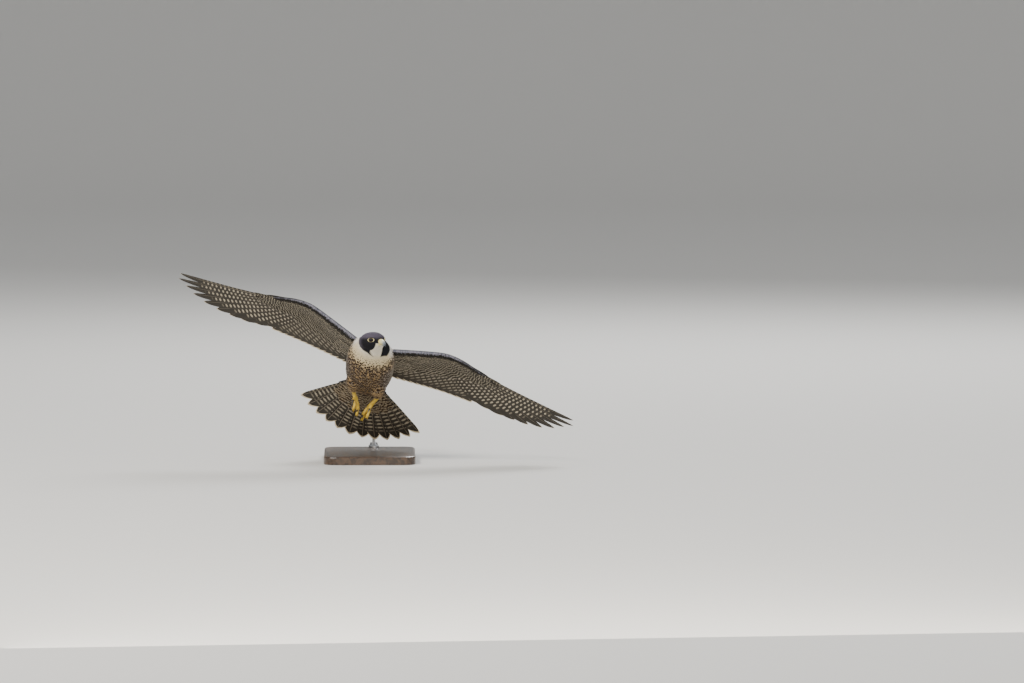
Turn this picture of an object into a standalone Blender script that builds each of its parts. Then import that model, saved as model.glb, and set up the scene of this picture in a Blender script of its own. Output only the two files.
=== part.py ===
"""Peregrine falcon in banking flight, life size, held by a plain display stand.

Metres, +Z up. The stand rests on Z = 0 and the bird flies towards -Y, nose up and banked to its
left. The bird is modelled in its own body frame: X towards its left, Y towards its tail and Z
towards its back. The empty flight_pose turns that frame into the climbing, banking pose, and
head_pose holds the head level.
"""

import math

import bmesh
import bpy
from mathutils import Euler, Matrix, Vector

# Pose
BODY_HEIGHT = 0.228  # middle of the body above the floor
PITCH, BANK, HEADING = -39.1, 17.5, -7.1  # degrees about X, Y and Z
HEAD_TURN = 40.0  # degrees to the bird's left
HEAD_CENTRE = Vector((0.000, -0.124, -0.005))  # body frame

# Body, feathers included
BODY_HALF_WIDTH = 0.059
BODY_RISE = 0.040
BODY_DEPTH = 0.051
TORSO_FRONT, TORSO_BACK = -0.088, 0.106
HEAD_HALF_WIDTH = 0.0285
EYE_RADIUS = 0.0074
EYE_PLACE = Vector((0.0169, -0.0124, 0.0048))  # head frame, left eye
BILL_ROOT, BILL_TIP = -0.0250, -0.0440  # head frame, along Y

# Wings: the wrist's leading edge, in the plan of the body frame
WRIST_OUT = 0.178
ROOT_OUT = 0.030
ROOT_HEIGHT = 0.015
WINGS = {
    # side: (mirror sign, wrist along Y, hand's sweep and twist in degrees, arm's, hand's rise)
    "left": (1, -0.120, 21.0, 1.2, 0.146, -0.033),
    "right": (-1, -0.132, 19.5, 1.9, 0.212, 0.066),
}
# Wrist to the tip of each primary, innermost first
PRIMARY_REACH = (0.191, 0.213, 0.238, 0.261, 0.287, 0.312, 0.331, 0.342, 0.354, 0.343)
PRIMARY_FAN = (37.6, -2.8)  # degrees behind the hand's leading edge, innermost and outermost
TIP_FLEX = 0.006  # how far the air bends the wing tip up
SECONDARIES = 13
VANE_THICKNESS = 0.0005
VANE_STEP = 0.00085  # height from one vane to the next that lies over it

# Tail
TAIL_APEX = Vector((0.0, 0.033))
TAIL_DROOP = 10.0  # degrees below the body's line
TAIL_FEATHERS = 12
TAIL_HALF_FAN = 48.0  # degrees
TAIL_REACH = (0.215, 0.204)  # apex to tip, middle and outermost feathers

GAP = 0.0003  # left between touching nodes


def clear_scene():
    for obj in list(bpy.data.objects):
        bpy.data.objects.remove(obj)


def empty(name, matrix):
    obj = bpy.data.objects.new(name, None)
    bpy.context.scene.collection.objects.link(obj)
    obj.matrix_world = matrix
    return obj


def material(name, colour, roughness, metallic=0.0):
    made = bpy.data.materials.new(name)
    made.use_nodes = True
    shader = made.node_tree.nodes["Principled BSDF"]
    shader.inputs["Base Color"].default_value = (*colour, 1.0)
    shader.inputs["Roughness"].default_value = roughness
    shader.inputs["Metallic"].default_value = metallic
    return made


def solid(name, points, faces, frame):
    """A closed mesh object in the given frame, its faces turned outwards."""
    mesh = bpy.data.meshes.new(name)
    mesh.from_pydata([tuple(p) for p in points], [], faces)
    work = bmesh.new()
    work.from_mesh(mesh)
    bmesh.ops.recalc_face_normals(work, faces=work.faces)
    work.to_mesh(mesh)
    work.free()
    obj = bpy.data.objects.new(name, mesh)
    bpy.context.scene.collection.objects.link(obj)
    obj.parent = frame
    return obj


def loft(name, rings, frame):
    """Skins a row of rings that have the same count of points, and closes both ends with fans."""
    count = len(rings[0])
    points = [Vector(p) for ring in rings for p in ring]
    faces = []
    for row in range(len(rings) - 1):
        for i in range(count):
            a, b = row * count + i, row * count + (i + 1) % count
            faces += [(a, b, b + count), (a, b + count, a + count)]
    for row in (0, len(rings) - 1):
        hub = len(points)
        points.append(sum((Vector(p) for p in rings[row]), Vector()) / count)
        faces += [(hub, row * count + i, row * count + (i + 1) % count) for i in range(count)]
    return solid(name, points, faces, frame)


def applied(obj):
    """Makes the evaluated mesh of an object its own, without its modifiers."""
    bpy.context.view_layer.update()
    graph = bpy.context.evaluated_depsgraph_get()
    mesh = bpy.data.meshes.new_from_object(obj.evaluated_get(graph))
    obj.modifiers.clear()
    obj.data = mesh
    return obj


def keep_largest(obj):
    """Drops every closed surface but the largest one."""
    work = bmesh.new()
    work.from_mesh(obj.data)
    left, islands = set(work.faces), []
    while left:
        stack, island = [left.pop()], []
        while stack:
            face = stack.pop()
            island.append(face)
            for edge in face.edges:
                for other in edge.link_faces:
                    if other in left:
                        left.remove(other)
                        stack.append(other)
        islands.append(island)
    islands.sort(key=lambda island: sum(face.calc_area() for face in island))
    loose = [face for island in islands[:-1] for face in island]
    bmesh.ops.delete(work, geom=loose, context="FACES")
    work.to_mesh(obj.data)
    work.free()
    return obj


def fuse(obj, others):
    """Joins closed pieces into one closed body."""
    if not others:
        return obj
    group = bpy.data.collections.new("fused")
    bpy.context.scene.collection.children.link(group)
    for other in others:
        bpy.context.scene.collection.objects.unlink(other)
        group.objects.link(other)
    join = obj.modifiers.new("fuse", "BOOLEAN")
    join.operation = "UNION"
    join.operand_type = "COLLECTION"
    join.collection = group
    join.solver = "EXACT"
    applied(obj)
    for other in others:
        bpy.data.objects.remove(other)
    bpy.data.collections.remove(group)
    return keep_largest(obj)


def cut(obj, cutter):
    """Takes a cutter's shape out of a body and removes the cutter."""
    trim = obj.modifiers.new("cut", "BOOLEAN")
    trim.operation = "DIFFERENCE"
    trim.object = cutter
    trim.solver = "EXACT"
    applied(obj)
    bpy.data.objects.remove(cutter)
    return keep_largest(obj)


def grown(obj, distance=GAP):
    """A copy of a body, larger by a distance all over, to cut its neighbour clear of it."""
    mesh = obj.data.copy()
    normals = [v.normal.copy() for v in mesh.vertices]
    for vertex, normal in zip(mesh.vertices, normals):
        vertex.co += normal * distance
    copy = bpy.data.objects.new(obj.name + "_cutter", mesh)
    bpy.context.scene.collection.objects.link(copy)
    copy.parent = obj.parent
    return copy


def dress(obj, finish, sharp=50.0):
    obj.data.materials.clear()
    obj.data.materials.append(finish)
    obj.data.shade_smooth()
    obj.data.set_sharp_from_angle(angle=math.radians(sharp))
    return obj


def mix(a, b, share):
    return a + (b - a) * share


def smooth_step(share):
    share = min(1.0, max(0.0, share))
    return share * share * (3 - 2 * share)


def table(pairs, at):
    """Reads a value between the rows of a short table of (place, value, ...), smoothly."""
    if at <= pairs[0][0]:
        return pairs[0][1:]
    for low, high in zip(pairs, pairs[1:]):
        if at <= high[0]:
            share = (at - low[0]) / (high[0] - low[0])
            return tuple(mix(a, b, share) for a, b in zip(low[1:], high[1:]))
    return pairs[-1][1:]


def section(centre, half_width, rise, depth, count, square=1.0):
    """An egg-shaped ring across Y: half_width to each side, rise above and depth below."""
    ring = []
    for i in range(count):
        angle = math.tau * i / count
        across, up = math.cos(angle), math.sin(angle)
        across = math.copysign(abs(across) ** square, across)
        up = math.copysign(abs(up) ** square, up)
        height = rise if up > 0 else depth
        ring.append(centre + Vector((half_width * across, 0.0, height * up)))
    return ring


# Torso and neck

# Along Y: share of the half width, rise and depth
TORSO_SHAPE = (
    (TORSO_FRONT, 0.80, 0.88, 0.78),
    (-0.070, 0.92, 0.96, 0.90),
    (-0.045, 1.00, 1.00, 0.98),
    (-0.015, 1.00, 1.00, 1.00),
    (0.015, 0.97, 0.97, 0.97),
    (0.045, 0.87, 0.82, 0.82),
    (0.070, 0.72, 0.62, 0.60),
    (0.090, 0.57, 0.43, 0.40),
    (0.100, 0.47, 0.32, 0.28),
    (TORSO_BACK, 0.36, 0.22, 0.18),
)
BODY_SIDES = 22


def torso(frame, finish):
    rings = []
    for y, wide, high, deep in TORSO_SHAPE:
        centre = Vector((0.0, y, 0.0))
        size = (wide * BODY_HALF_WIDTH, high * BODY_RISE, deep * BODY_DEPTH)
        rings.append(section(centre, *size, BODY_SIDES))
    return dress(loft("torso", rings, frame), finish)


# Share of the way from the torso's front to the middle of the head, half width, rise and depth
NECK_SHAPE = (
    (0.00, 0.80 * BODY_HALF_WIDTH, 0.88 * BODY_RISE, 0.78 * BODY_DEPTH),
    (0.30, 0.0440, 0.0330, 0.0370),
    (0.62, 0.0375, 0.0285, 0.0325),
    (1.00, 0.0240, 0.0195, 0.0230),
)


def neck_loft(frame):
    start = Vector((0.0, TORSO_FRONT - GAP, 0.0))
    end = HEAD_CENTRE
    rings = [
        section(start.lerp(end, share), wide, high, deep, BODY_SIDES)
        for share, wide, high, deep in NECK_SHAPE
    ]
    return loft("neck", rings, frame)


# Head

# Along Y of the head frame: share of the half width, rise and depth in metres
HEAD_SHAPE = (
    (0.0360, 0.26, 0.0065, 0.0090),
    (0.0325, 0.55, 0.0125, 0.0155),
    (0.0260, 0.82, 0.0175, 0.0205),
    (0.0150, 0.98, 0.0214, 0.0235),
    (0.0040, 1.00, 0.0228, 0.0240),
    (-0.0050, 0.95, 0.0230, 0.0235),
    (-0.0120, 0.86, 0.0218, 0.0218),
    (-0.0175, 0.735, 0.0190, 0.0190),
    (-0.0215, 0.573, 0.0152, 0.0158),
    (-0.0245, 0.42, 0.0115, 0.0122),
    (-0.0262, 0.325, 0.0085, 0.0092),
)
HEAD_SIDES = 20


def head_loft(name, frame):
    rings = [
        section(Vector((0.0, y, 0.0)), wide * HEAD_HALF_WIDTH, high, deep, HEAD_SIDES, 0.92)
        for y, wide, high, deep in HEAD_SHAPE
    ]
    return loft(name, rings, frame)


def ball(name, centre, size, frame, segments=16, rows=10, turn=0.0):
    """A sphere stretched to the half sizes given by the vector size and turned about Z."""
    spin = Matrix.Rotation(math.radians(turn), 3, "Z")
    work = bmesh.new()
    bmesh.ops.create_uvsphere(work, u_segments=segments, v_segments=rows, radius=1.0)
    for vertex in work.verts:
        vertex.co = centre + spin @ Vector([a * b for a, b in zip(vertex.co, size)])
    mesh = bpy.data.meshes.new(name)
    work.to_mesh(mesh)
    work.free()
    obj = bpy.data.objects.new(name, mesh)
    bpy.context.scene.collection.objects.link(obj)
    obj.parent = frame
    return obj


def hoop(name, centre, axis, major, minor, frame, segments=14, sides=5):
    """A ring of round section about an axis."""
    turn = axis.to_track_quat("Z", "Y")
    rings = []
    for i in range(segments):
        angle = math.tau * i / segments
        out = Vector((math.cos(angle), math.sin(angle), 0.0))
        rings.append([
            centre + turn @ (out * (major + minor * math.cos(math.tau * j / sides))
                             + Vector((0, 0, minor * math.sin(math.tau * j / sides))))
            for j in range(sides)
        ])
    points = [p for ring in rings for p in ring]
    faces = []
    for i in range(segments):
        for j in range(sides):
            a, b = i * sides + j, i * sides + (j + 1) % sides
            c = ((i + 1) % segments) * sides + j
            d = ((i + 1) % segments) * sides + (j + 1) % sides
            faces.append((a, b, d, c))
    return solid(name, points, faces, frame)


def mirrored(vector, sign):
    return Vector((vector.x * sign, vector.y, vector.z))


EYE_LOOK = Vector((0.86, -0.50, 0.06))  # which way the left eye faces
LID_RADIUS = 0.0062
LID_THICKNESS = 0.0013
BROW_SIZE = Vector((0.0036, 0.0115, 0.0025))
BROW_PLACE = Vector((0.0196, -0.0098, 0.0122))
BROW_TURN = -25.0  # degrees, out towards the back of the head
GAPE_LENGTH, GAPE_HEIGHT = 0.0095, 0.0009


def head(frame, finish):
    """The feathered head, with brows and lids, the eyes' sockets and the corners of the mouth."""
    body = head_loft("head", frame)
    added, sockets = [], []
    for sign in (-1, 1):
        look = mirrored(EYE_LOOK, sign).normalized()
        eye = mirrored(EYE_PLACE, sign)
        rim = math.sqrt(EYE_RADIUS**2 - LID_RADIUS**2)
        added.append(hoop("lid", eye + look * rim, look, LID_RADIUS, LID_THICKNESS, frame))
        brow = mirrored(BROW_PLACE, sign)
        added.append(ball("brow", brow, BROW_SIZE, frame, 10, 6, BROW_TURN * sign))
        socket = Vector((EYE_RADIUS + GAP,) * 3)
        sockets.append(ball("socket", eye, socket, frame, 16, 10))
    fuse(body, added)
    for socket in sockets:
        cut(body, socket)
    for sign in (-1, 1):
        corner = Vector((sign * 0.0112, BILL_ROOT + GAPE_LENGTH / 4, -0.0056))
        size = Vector((0.0060, GAPE_LENGTH, GAPE_HEIGHT))
        cut(body, ball("gape", corner, size, frame, 8, 6))
    return dress(body, finish)


def eyes(frame, finish):
    for side, (sign, *_) in WINGS.items():
        size = Vector((EYE_RADIUS,) * 3)
        name = f"eye_{side}"
        dress(ball(name, mirrored(EYE_PLACE, sign), size, frame, 16, 10), finish)


# Share of the bill's length: half width, top and bottom of the upper half, in metres
UPPER_BILL = (
    (0.00, 0.0070, 0.0066, -0.0042),
    (0.16, 0.0069, 0.0068, -0.0046),
    (0.30, 0.0065, 0.0063, -0.0052),
    (0.46, 0.0058, 0.0050, -0.0056),
    (0.62, 0.0050, 0.0034, -0.0060),
    (0.74, 0.0041, 0.0014, -0.0074),
    (0.85, 0.0030, -0.0014, -0.0074),
    (0.94, 0.0019, -0.0048, -0.0094),
    (1.00, 0.0007, -0.0090, -0.0110),
)
# The lower half is shorter: half width, top and bottom
LOWER_BILL = (
    (0.00, 0.0064, -0.0048, -0.0098),
    (0.25, 0.0061, -0.0052, -0.0097),
    (0.50, 0.0050, -0.0057, -0.0093),
    (0.68, 0.0035, -0.0063, -0.0089),
    (0.76, 0.0021, -0.0075, -0.0088),
)
NOSTRIL_PLACE = Vector((0.0064, -0.0285, 0.0024))


def bill_rings(shape, lift):
    rings = []
    for share, wide, top, bottom in shape:
        y = mix(BILL_ROOT - 2 * GAP, BILL_TIP, share)
        middle = (top + bottom) / 2
        half = (top - bottom) / 2
        rings.append(section(Vector((0.0, y, middle + lift)), wide, half, half, 14, 0.8))
    return rings


def bill(frame, horn, cutter):
    """Both halves of the bill, with the nostrils and their middle pegs, clear of the head."""
    upper = loft("bill_upper", bill_rings(UPPER_BILL, 0.0), frame)
    for sign in (-1, 1):
        nostril = mirrored(NOSTRIL_PLACE, sign)
        out = Vector((sign, -0.25, 0.15)).normalized()
        cut(upper, hoop("nostril", nostril, out, 0.0010, 0.0005, frame, 10, 6))
    lower = loft("bill_lower", bill_rings(LOWER_BILL, -0.0002), frame)
    cut(lower, grown(upper))
    for half in (upper, lower):
        cut(half, grown(cutter))
        dress(half, horn)
    return upper, lower


# Wings

def wing_plan(side):
    """The functions that place a wing's points: the hand's frame, the height and the chord."""
    sign, wrist_y, sweep, twist, arm_rise, hand_rise = WINGS[side]
    drop = math.tan(math.radians(twist))
    turn = math.radians(sweep)
    wrist = Vector((WRIST_OUT, wrist_y))
    along = Vector((math.cos(turn), math.sin(turn)))
    back = Vector((-math.sin(turn), math.cos(turn)))

    def hand(distance, behind):
        return wrist + along * distance + back * behind

    def front(x):
        """Y of the leading edge."""
        inner = Vector((0.048, -0.086))
        slope = (wrist.y - inner.y) / (wrist.x - inner.x)
        arm_line = inner.y + slope * (x - inner.x)
        hand_line = wrist.y + math.tan(turn) * (x - wrist.x)
        soft = 0.014
        return (arm_line + hand_line + math.hypot(arm_line - hand_line, soft)) / 2

    def height(point):
        """Height of the wing's middle surface over a point of its plan."""
        x, y = point
        bend = ((x - wrist.x) - math.hypot(x - wrist.x, 0.030)) / 2
        level = ROOT_HEIGHT + arm_rise * (wrist.x - 0.050) + hand_rise * (x - wrist.x)
        level += (arm_rise - hand_rise) * bend
        reach = (point - wrist).dot(along)
        if reach > 0.130:
            level += TIP_FLEX * ((reach - 0.130) / 0.210) ** 2
        chord = mix(0.150, 0.090, smooth_step((x - 0.20) / 0.26))
        share = min(1.0, max(0.0, (y - front(x)) / chord))
        return level + 0.10 * chord * share * (1 - share) - drop * (y - front(x))

    def place(point, level=0.0):
        return Vector((point.x * sign, point.y, height(point) + level))

    return hand, front, place


LONG_STATIONS = (0.0, 0.38, 0.76, 0.93, 1.0)
BROAD_STATIONS = (0.0, 0.50, 0.93, 1.0)
COVERT_STATIONS = (0.0, 0.80, 1.0)


def vane_width(share, tip):
    """Share of a vane's full width along it. The tip is from 0, pointed, to 1, broad and round."""
    grow = 0.45 + 0.55 * smooth_step(share / 0.35)
    start = mix(0.50, 0.80, tip)
    fall = max(0.0, (share - start) / (1 - start))
    return grow * math.sqrt(max(0.0, 1 - fall**mix(1.4, 2.6, tip))) + 0.07 * (share > 0.99)


def vane(root, tip, widths, spacing, levels, place, frame, stations, blunt=0.6, bow=0.0):
    """One feather's vane: a thin closed plate from root to tip, both given in plan.

    widths are the leading and the trailing side's, spacing the distance to the next feather at
    root and tip. Each vane is tilted, its leading edge up, so that it lies VANE_STEP clear of the
    next one. levels are the heights of its root and of its free part above the wing's surface.
    """
    run = tip - root
    ahead = run.normalized()
    lead = Vector((ahead.y, -ahead.x))  # towards the leading edge
    points = []
    for share in stations:
        centre = root + run * share - lead * bow * run.length * 4 * share * (1 - share)
        full = vane_width(share, blunt)
        step = VANE_STEP / mix(spacing[0], spacing[1], share)
        level = mix(levels[0], levels[1], smooth_step(share / 0.35))
        half = VANE_THICKNESS / 2 * (1.0 if share < 0.99 else 0.7)
        for offset in (widths[0] * full, 0.0, -widths[1] * full):
            lift = level + step * offset
            spot = centre + lead * offset
            points += [place(spot, lift + half), place(spot, lift - half)]
    faces = []
    last = (len(stations) - 1) * 6
    for row in range(len(stations) - 1):
        a = row * 6
        for top in (a, a + 2):
            faces += [(top, top + 2, top + 8), (top, top + 8, top + 6)]
            low = top + 1
            faces += [(low, low + 8, low + 2), (low, low + 6, low + 8)]
        for edge in (a, a + 4):
            faces += [(edge, edge + 6, edge + 7), (edge, edge + 7, edge + 1)]
    for a in (0, last):
        faces += [(a, a + 1, a + 3), (a, a + 3, a + 2), (a + 2, a + 3, a + 5), (a + 2, a + 5, a + 4)]
    return solid("vane", points, faces, frame)


# Share of the way across the flesh, from its leading edge to its blunt rear
FLESH_ACROSS = (0.05, 0.20, 0.45, 0.72, 1.0)
FLESH_REAR = 0.0029  # half thickness where the feathers leave the flesh
# Along the wing: chord of the flesh and its half thickness, in metres. Below 0 is the arm, as a
# share of its length; above 0 the hand, as a distance from the wrist
FLESH_SHAPE = (
    (-1.00, 0.072, 0.0105),
    (-0.70, 0.066, 0.0094),
    (-0.35, 0.054, 0.0076),
    (0.00, 0.040, 0.0064),
    (0.030, 0.034, 0.0056),
    (0.070, 0.026, 0.0046),
    (0.105, 0.014, 0.0034),
)


def flesh(side, stations, frame):
    """The muscled front of the wing, lofted through airfoil sections."""
    hand, front, place = wing_plan(side)
    inner = Vector((ROOT_OUT, front(ROOT_OUT)))
    wrist_edge = hand(0.0, 0.0)
    hand_back = hand(0.0, 1.0) - wrist_edge
    rings = []
    for at in stations:
        chord, half = table(FLESH_SHAPE, at)
        if at < 0:
            edge = wrist_edge.lerp(inner, -at)
            edge = Vector((edge.x, front(edge.x)))
        else:
            edge = hand(at, 0.004 * smooth_step(at / 0.1))
            if at < 0.03:
                edge = Vector((edge.x, front(edge.x)))
        back = Vector((0.0, 1.0)).lerp(hand_back, smooth_step(1 + at)).normalized()
        ring = [place(edge)]
        sides = []
        for share in FLESH_ACROSS:
            thick = FLESH_REAR * min(1.0, math.sqrt(share / 0.2))
            thick += (half - FLESH_REAR) * math.sin(math.pi * share**0.62)
            sides.append((edge + back * chord * share, thick))
        ring += [place(spot, thick) for spot, thick in sides]
        ring += [place(spot, -thick) for spot, thick in reversed(sides)]
        rings.append(ring)
    return loft("flesh", rings, frame)


def primary(side, index):
    """Root and tip of a primary in plan. The index runs from 0, innermost, to 9."""
    hand, _, _ = wing_plan(side)
    share = index / (len(PRIMARY_REACH) - 1)
    angle = math.radians(PRIMARY_FAN[1] + (PRIMARY_FAN[0] - PRIMARY_FAN[1]) * (1 - share) ** 1.1)
    whole = min(len(PRIMARY_REACH) - 1, max(0, math.floor(index)))
    following = min(len(PRIMARY_REACH) - 1, whole + 1)
    reach = mix(PRIMARY_REACH[whole], PRIMARY_REACH[following], index - whole)
    root = hand(mix(0.002, 0.080, share), mix(0.026, 0.012, share))
    return root, hand(reach * math.cos(angle), reach * math.sin(angle))


def secondary(side, index):
    """Root and tip of a secondary in plan, from 0 beside the wrist to the one at the body."""
    hand, _, _ = wing_plan(side)
    share = index / (SECONDARIES - 1)
    start, bend, end = hand(-0.006, 0.028), Vector((0.118, -0.052)), Vector((0.044, -0.046))
    root = start * (1 - share) ** 2 + bend * 2 * share * (1 - share) + end * share**2
    outer_tip, inner_tip = hand(0.131, 0.130), Vector((0.053, 0.033))
    return root, outer_tip.lerp(inner_tip, share)


def flight_feathers(side, kind, count, frame):
    _, _, place = wing_plan(side)
    made = []
    for i in range(count):
        root, tip = kind(side, i)
        near_root, near_tip = kind(side, i - 1 if i else 1)
        spacing = ((root - near_root).length, (tip - near_tip).length)
        if kind is primary:
            share = i / (count - 1)
            widths = (mix(0.010, 0.006, share), mix(0.021, 0.017, share) if i else 0.012)
            blunt, stations = mix(0.75, 0.05, share), LONG_STATIONS
        else:
            widths, blunt, stations = (0.010, 0.018), 1.0, BROAD_STATIONS
        spacing = (max(spacing[0], 0.006), max(spacing[1], 0.012))
        made.append(vane(root, tip, widths, spacing, (0.0, 0.0), place, frame, stations, blunt))
    return made


COVERT_LEVEL = 0.0023


def coverts(side, kind, count, reach, face, frame):
    """A row of greater coverts over the feathers of one kind. face is 1 above and -1 below."""
    _, _, place = wing_plan(side)
    last = (SECONDARIES if kind is secondary else len(PRIMARY_REACH)) - 1
    made = []
    for i in range(count):
        at = mix(0.4, last - 0.2, i / (count - 1))
        root, tip = kind(side, at)
        near_root, near_tip = kind(side, at - last / (count - 1))
        share = reach if kind is secondary else mix(reach, 0.62 * reach, i / (count - 1))
        tip = root.lerp(tip, share)
        near_tip = near_root.lerp(near_tip, share)
        spacing = (max(0.008, (root - near_root).length), max(0.009, (tip - near_tip).length))
        half = 0.62 * spacing[1]
        levels = (face * 0.0012, face * COVERT_LEVEL)
        made.append(vane(root, tip, (half, half), spacing, levels, place, frame,
                         COVERT_STATIONS, 0.9))
    return made


def alula(side, frame):
    """The three stiff feathers of the thumb, along the hand's leading edge."""
    hand, _, place = wing_plan(side)
    made = []
    for i in range(3):
        root = hand(0.018, 0.010 + 0.003 * i)
        tip = hand(0.112 - 0.018 * i, 0.004 + 0.007 * i)
        level = 0.0030 - 0.0010 * i
        made.append(vane(root, tip, (0.005, 0.008), (0.012, 0.012), (0.001, level), place,
                         frame, COVERT_STATIONS, 0.3))
    return made


def wrist_cutter(side, beyond, frame):
    """A block that covers the wing on one side of the seam between arm and hand."""
    first, last = primary(side, 0), secondary(side, 0)
    root, tip = first[0].lerp(last[0], 0.5), first[1].lerp(last[1], 0.5)
    line = (tip - root).normalized()
    out = Vector((line.y, -line.x)) * (1 if beyond else -1)
    start = root - line * 0.10 - out * GAP / 2
    corners = [start, start + line * 0.50, start + line * 0.50 + out * 0.60, start + out * 0.60]
    sign = WINGS[side][0]
    points = [Vector((c.x * sign, c.y, z)) for z in (-0.2, 0.3) for c in corners]
    faces = [(0, 1, 2, 3), (4, 5, 6, 7), (0, 1, 5, 4), (1, 2, 6, 5), (2, 3, 7, 6), (3, 0, 4, 7)]
    return solid("wrist_cutter", points, faces, frame)


ARM_STATIONS = (-1.0, -0.8, -0.6, -0.4, -0.2, -0.05, 0.02)
HAND_STATIONS = (-0.35, -0.12, 0.0, 0.02, 0.045, 0.07, 0.09, 0.105)


def wing(side, frame, finish, neighbours):
    arm = flesh(side, ARM_STATIONS, frame)
    arm.name = f"wing_{side}_arm"
    feathers = flight_feathers(side, secondary, SECONDARIES, frame)
    feathers += coverts(side, secondary, 8, 0.52, 1, frame)
    feathers += coverts(side, secondary, 8, 0.50, -1, frame)
    fuse(arm, feathers)
    cut(arm, wrist_cutter(side, True, frame))
    for neighbour in neighbours:
        cut(arm, grown(neighbour))
    fore = flesh(side, HAND_STATIONS, frame)
    fore.name = f"wing_{side}_hand"
    feathers = flight_feathers(side, primary, len(PRIMARY_REACH), frame)
    feathers += coverts(side, primary, 6, 0.42, 1, frame)
    feathers += coverts(side, primary, 6, 0.40, -1, frame)
    feathers += alula(side, frame)
    fuse(fore, feathers)
    cut(fore, wrist_cutter(side, False, frame))
    dress(arm, finish, 30.0)
    dress(fore, finish, 30.0)


# Tail

def tail_place(offset):
    """Turns a point of the tail's flat plan, and its height over it, into the body frame."""
    slope = math.tan(math.radians(TAIL_DROOP))

    def place(point, level=0.0):
        return Vector((point.x, point.y, -slope * (point.y - TAIL_APEX.y) + offset + level))

    return place


def tail_point(distance, degrees):
    angle = math.radians(degrees)
    return TAIL_APEX + Vector((math.sin(angle), math.cos(angle))) * distance


def tail_angle(index):
    """Angle from the middle line. The index counts outwards from 0, beside the middle."""
    return TAIL_HALF_FAN * (2 * index + 1) / (TAIL_FEATHERS - 1)


TAIL_FLESH = (0.040, 0.060, 0.080, 0.096)  # distances from the apex
TAIL_FLESH_HALF_FAN = 50.0


def tail_flesh(frame):
    """The flat root of the tail: a fan, thick in the middle and thin at its rim."""
    place = tail_place(0.0)
    rings = []
    steps = 8
    for distance in TAIL_FLESH:
        thick = mix(0.0150, 0.0046, (distance - TAIL_FLESH[0]) / (TAIL_FLESH[-1] - TAIL_FLESH[0]))
        ring = []
        for face in (1, -1):
            for i in range(steps + 1):
                share = (i / steps * 2 - 1) * face
                angle = share * TAIL_FLESH_HALF_FAN
                half = mix(thick, 0.0042, share**2)
                ring.append(place(tail_point(distance, angle), face * half))
        rings.append(ring)
    return loft("tail", rings, frame)


def tail(frame, finish, neighbours):
    body = tail_flesh(frame)
    feathers = []
    for sign in (-1, 1):
        for i in range(TAIL_FEATHERS // 2):
            share = i / (TAIL_FEATHERS // 2 - 1)
            angle = sign * tail_angle(i)
            place = tail_place(0.0011 * sign)
            root, tip = tail_point(0.052, angle), tail_point(mix(*TAIL_REACH, share), angle)
            step = math.radians(2 * TAIL_HALF_FAN / (TAIL_FEATHERS - 1))
            spacing = (0.052 * step, 0.210 * step)
            widths = (mix(0.0175, 0.0060, share), mix(0.0175, 0.0200, share))
            feathers.append(tail_vane(root, tip, widths, spacing, 0.0, place, sign, frame,
                                      BROAD_STATIONS, 1.0))
    for face, count, reach in ((1, 5, 0.128), (-1, 5, 0.140)):
        for i in range(count):
            share = abs(2 * i / (count - 1) - 1)
            angle = (2 * i / (count - 1) - 1) * TAIL_HALF_FAN * 0.88
            place = tail_place(face * mix(0.0034, 0.0028, share))
            root = tail_point(0.078, angle)
            tip = tail_point(mix(reach, 0.86 * reach, share), angle)
            feathers.append(tail_vane(root, tip, (0.0150, 0.0150), (0.0190, 0.0260), 0.0, place,
                                      1, frame, COVERT_STATIONS, 0.9))
    fuse(body, feathers)
    for neighbour in neighbours:
        cut(body, grown(neighbour))
    return dress(body, finish, 30.0)


def tail_vane(root, tip, widths, spacing, level, place, sign, frame, stations, blunt):
    """A vane of the tail. Its leading side is the outer one, and the right half is mirrored."""
    if sign < 0:
        return vane(root, tip, (widths[1], widths[0]), (-spacing[0], -spacing[1]),
                    (level, level), place, frame, stations, blunt)
    return vane(root, tip, widths, spacing, (level, level), place, frame, stations, blunt)


# Legs and feet

def tube(name, path, radii, frame, sides=8, flat=1.0):
    """A round limb through the points of a path, its radius given at each point."""
    rings = []
    side = Vector((1.0, 0.0, 0.0))
    for i, spot in enumerate(path):
        ahead = (path[min(i + 1, len(path) - 1)] - path[max(i - 1, 0)]).normalized()
        up = ahead.cross(side).normalized()
        across = up.cross(ahead).normalized()
        ring = []
        for j in range(sides):
            angle = math.tau * j / sides
            ring.append(spot + across * radii[i] * math.cos(angle)
                        + up * radii[i] * flat * math.sin(angle))
        rings.append(ring)
    return loft(name, rings, frame)


# For each leg: the hip, the heel and the foot's hub, in the body frame
LEGS = {
    "left": (Vector((0.030, 0.015, -0.026)), Vector((0.0385, 0.046, -0.0435)),
             Vector((0.0255, 0.079, -0.0520))),
    "right": (Vector((-0.027, 0.014, -0.026)), Vector((-0.0215, 0.046, -0.0475)),
              Vector((-0.0105, 0.064, -0.0550))),
}
THIGH_RADII = (0.018, 0.0210, 0.0182, 0.0125, 0.0070)
TARSUS_RADII = (0.0046, 0.0042, 0.0040, 0.0046, 0.0056)
# Each toe: name, spread in degrees, bones' lengths, first bend and bend at each joint
TOES = (
    ("inner", -11.0, (0.013, 0.011, 0.009), 20.0, 34.0),
    ("middle", 4.0, (0.015, 0.013, 0.011, 0.009), 8.0, 27.0),
    ("outer", 24.0, (0.012, 0.010, 0.009, 0.008), 18.0, 30.0),
    ("hind", 180.0, (0.011, 0.009), 48.0, 40.0),
)
TOE_RADIUS = 0.0034
CLAW_LENGTH = 0.0145


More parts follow.
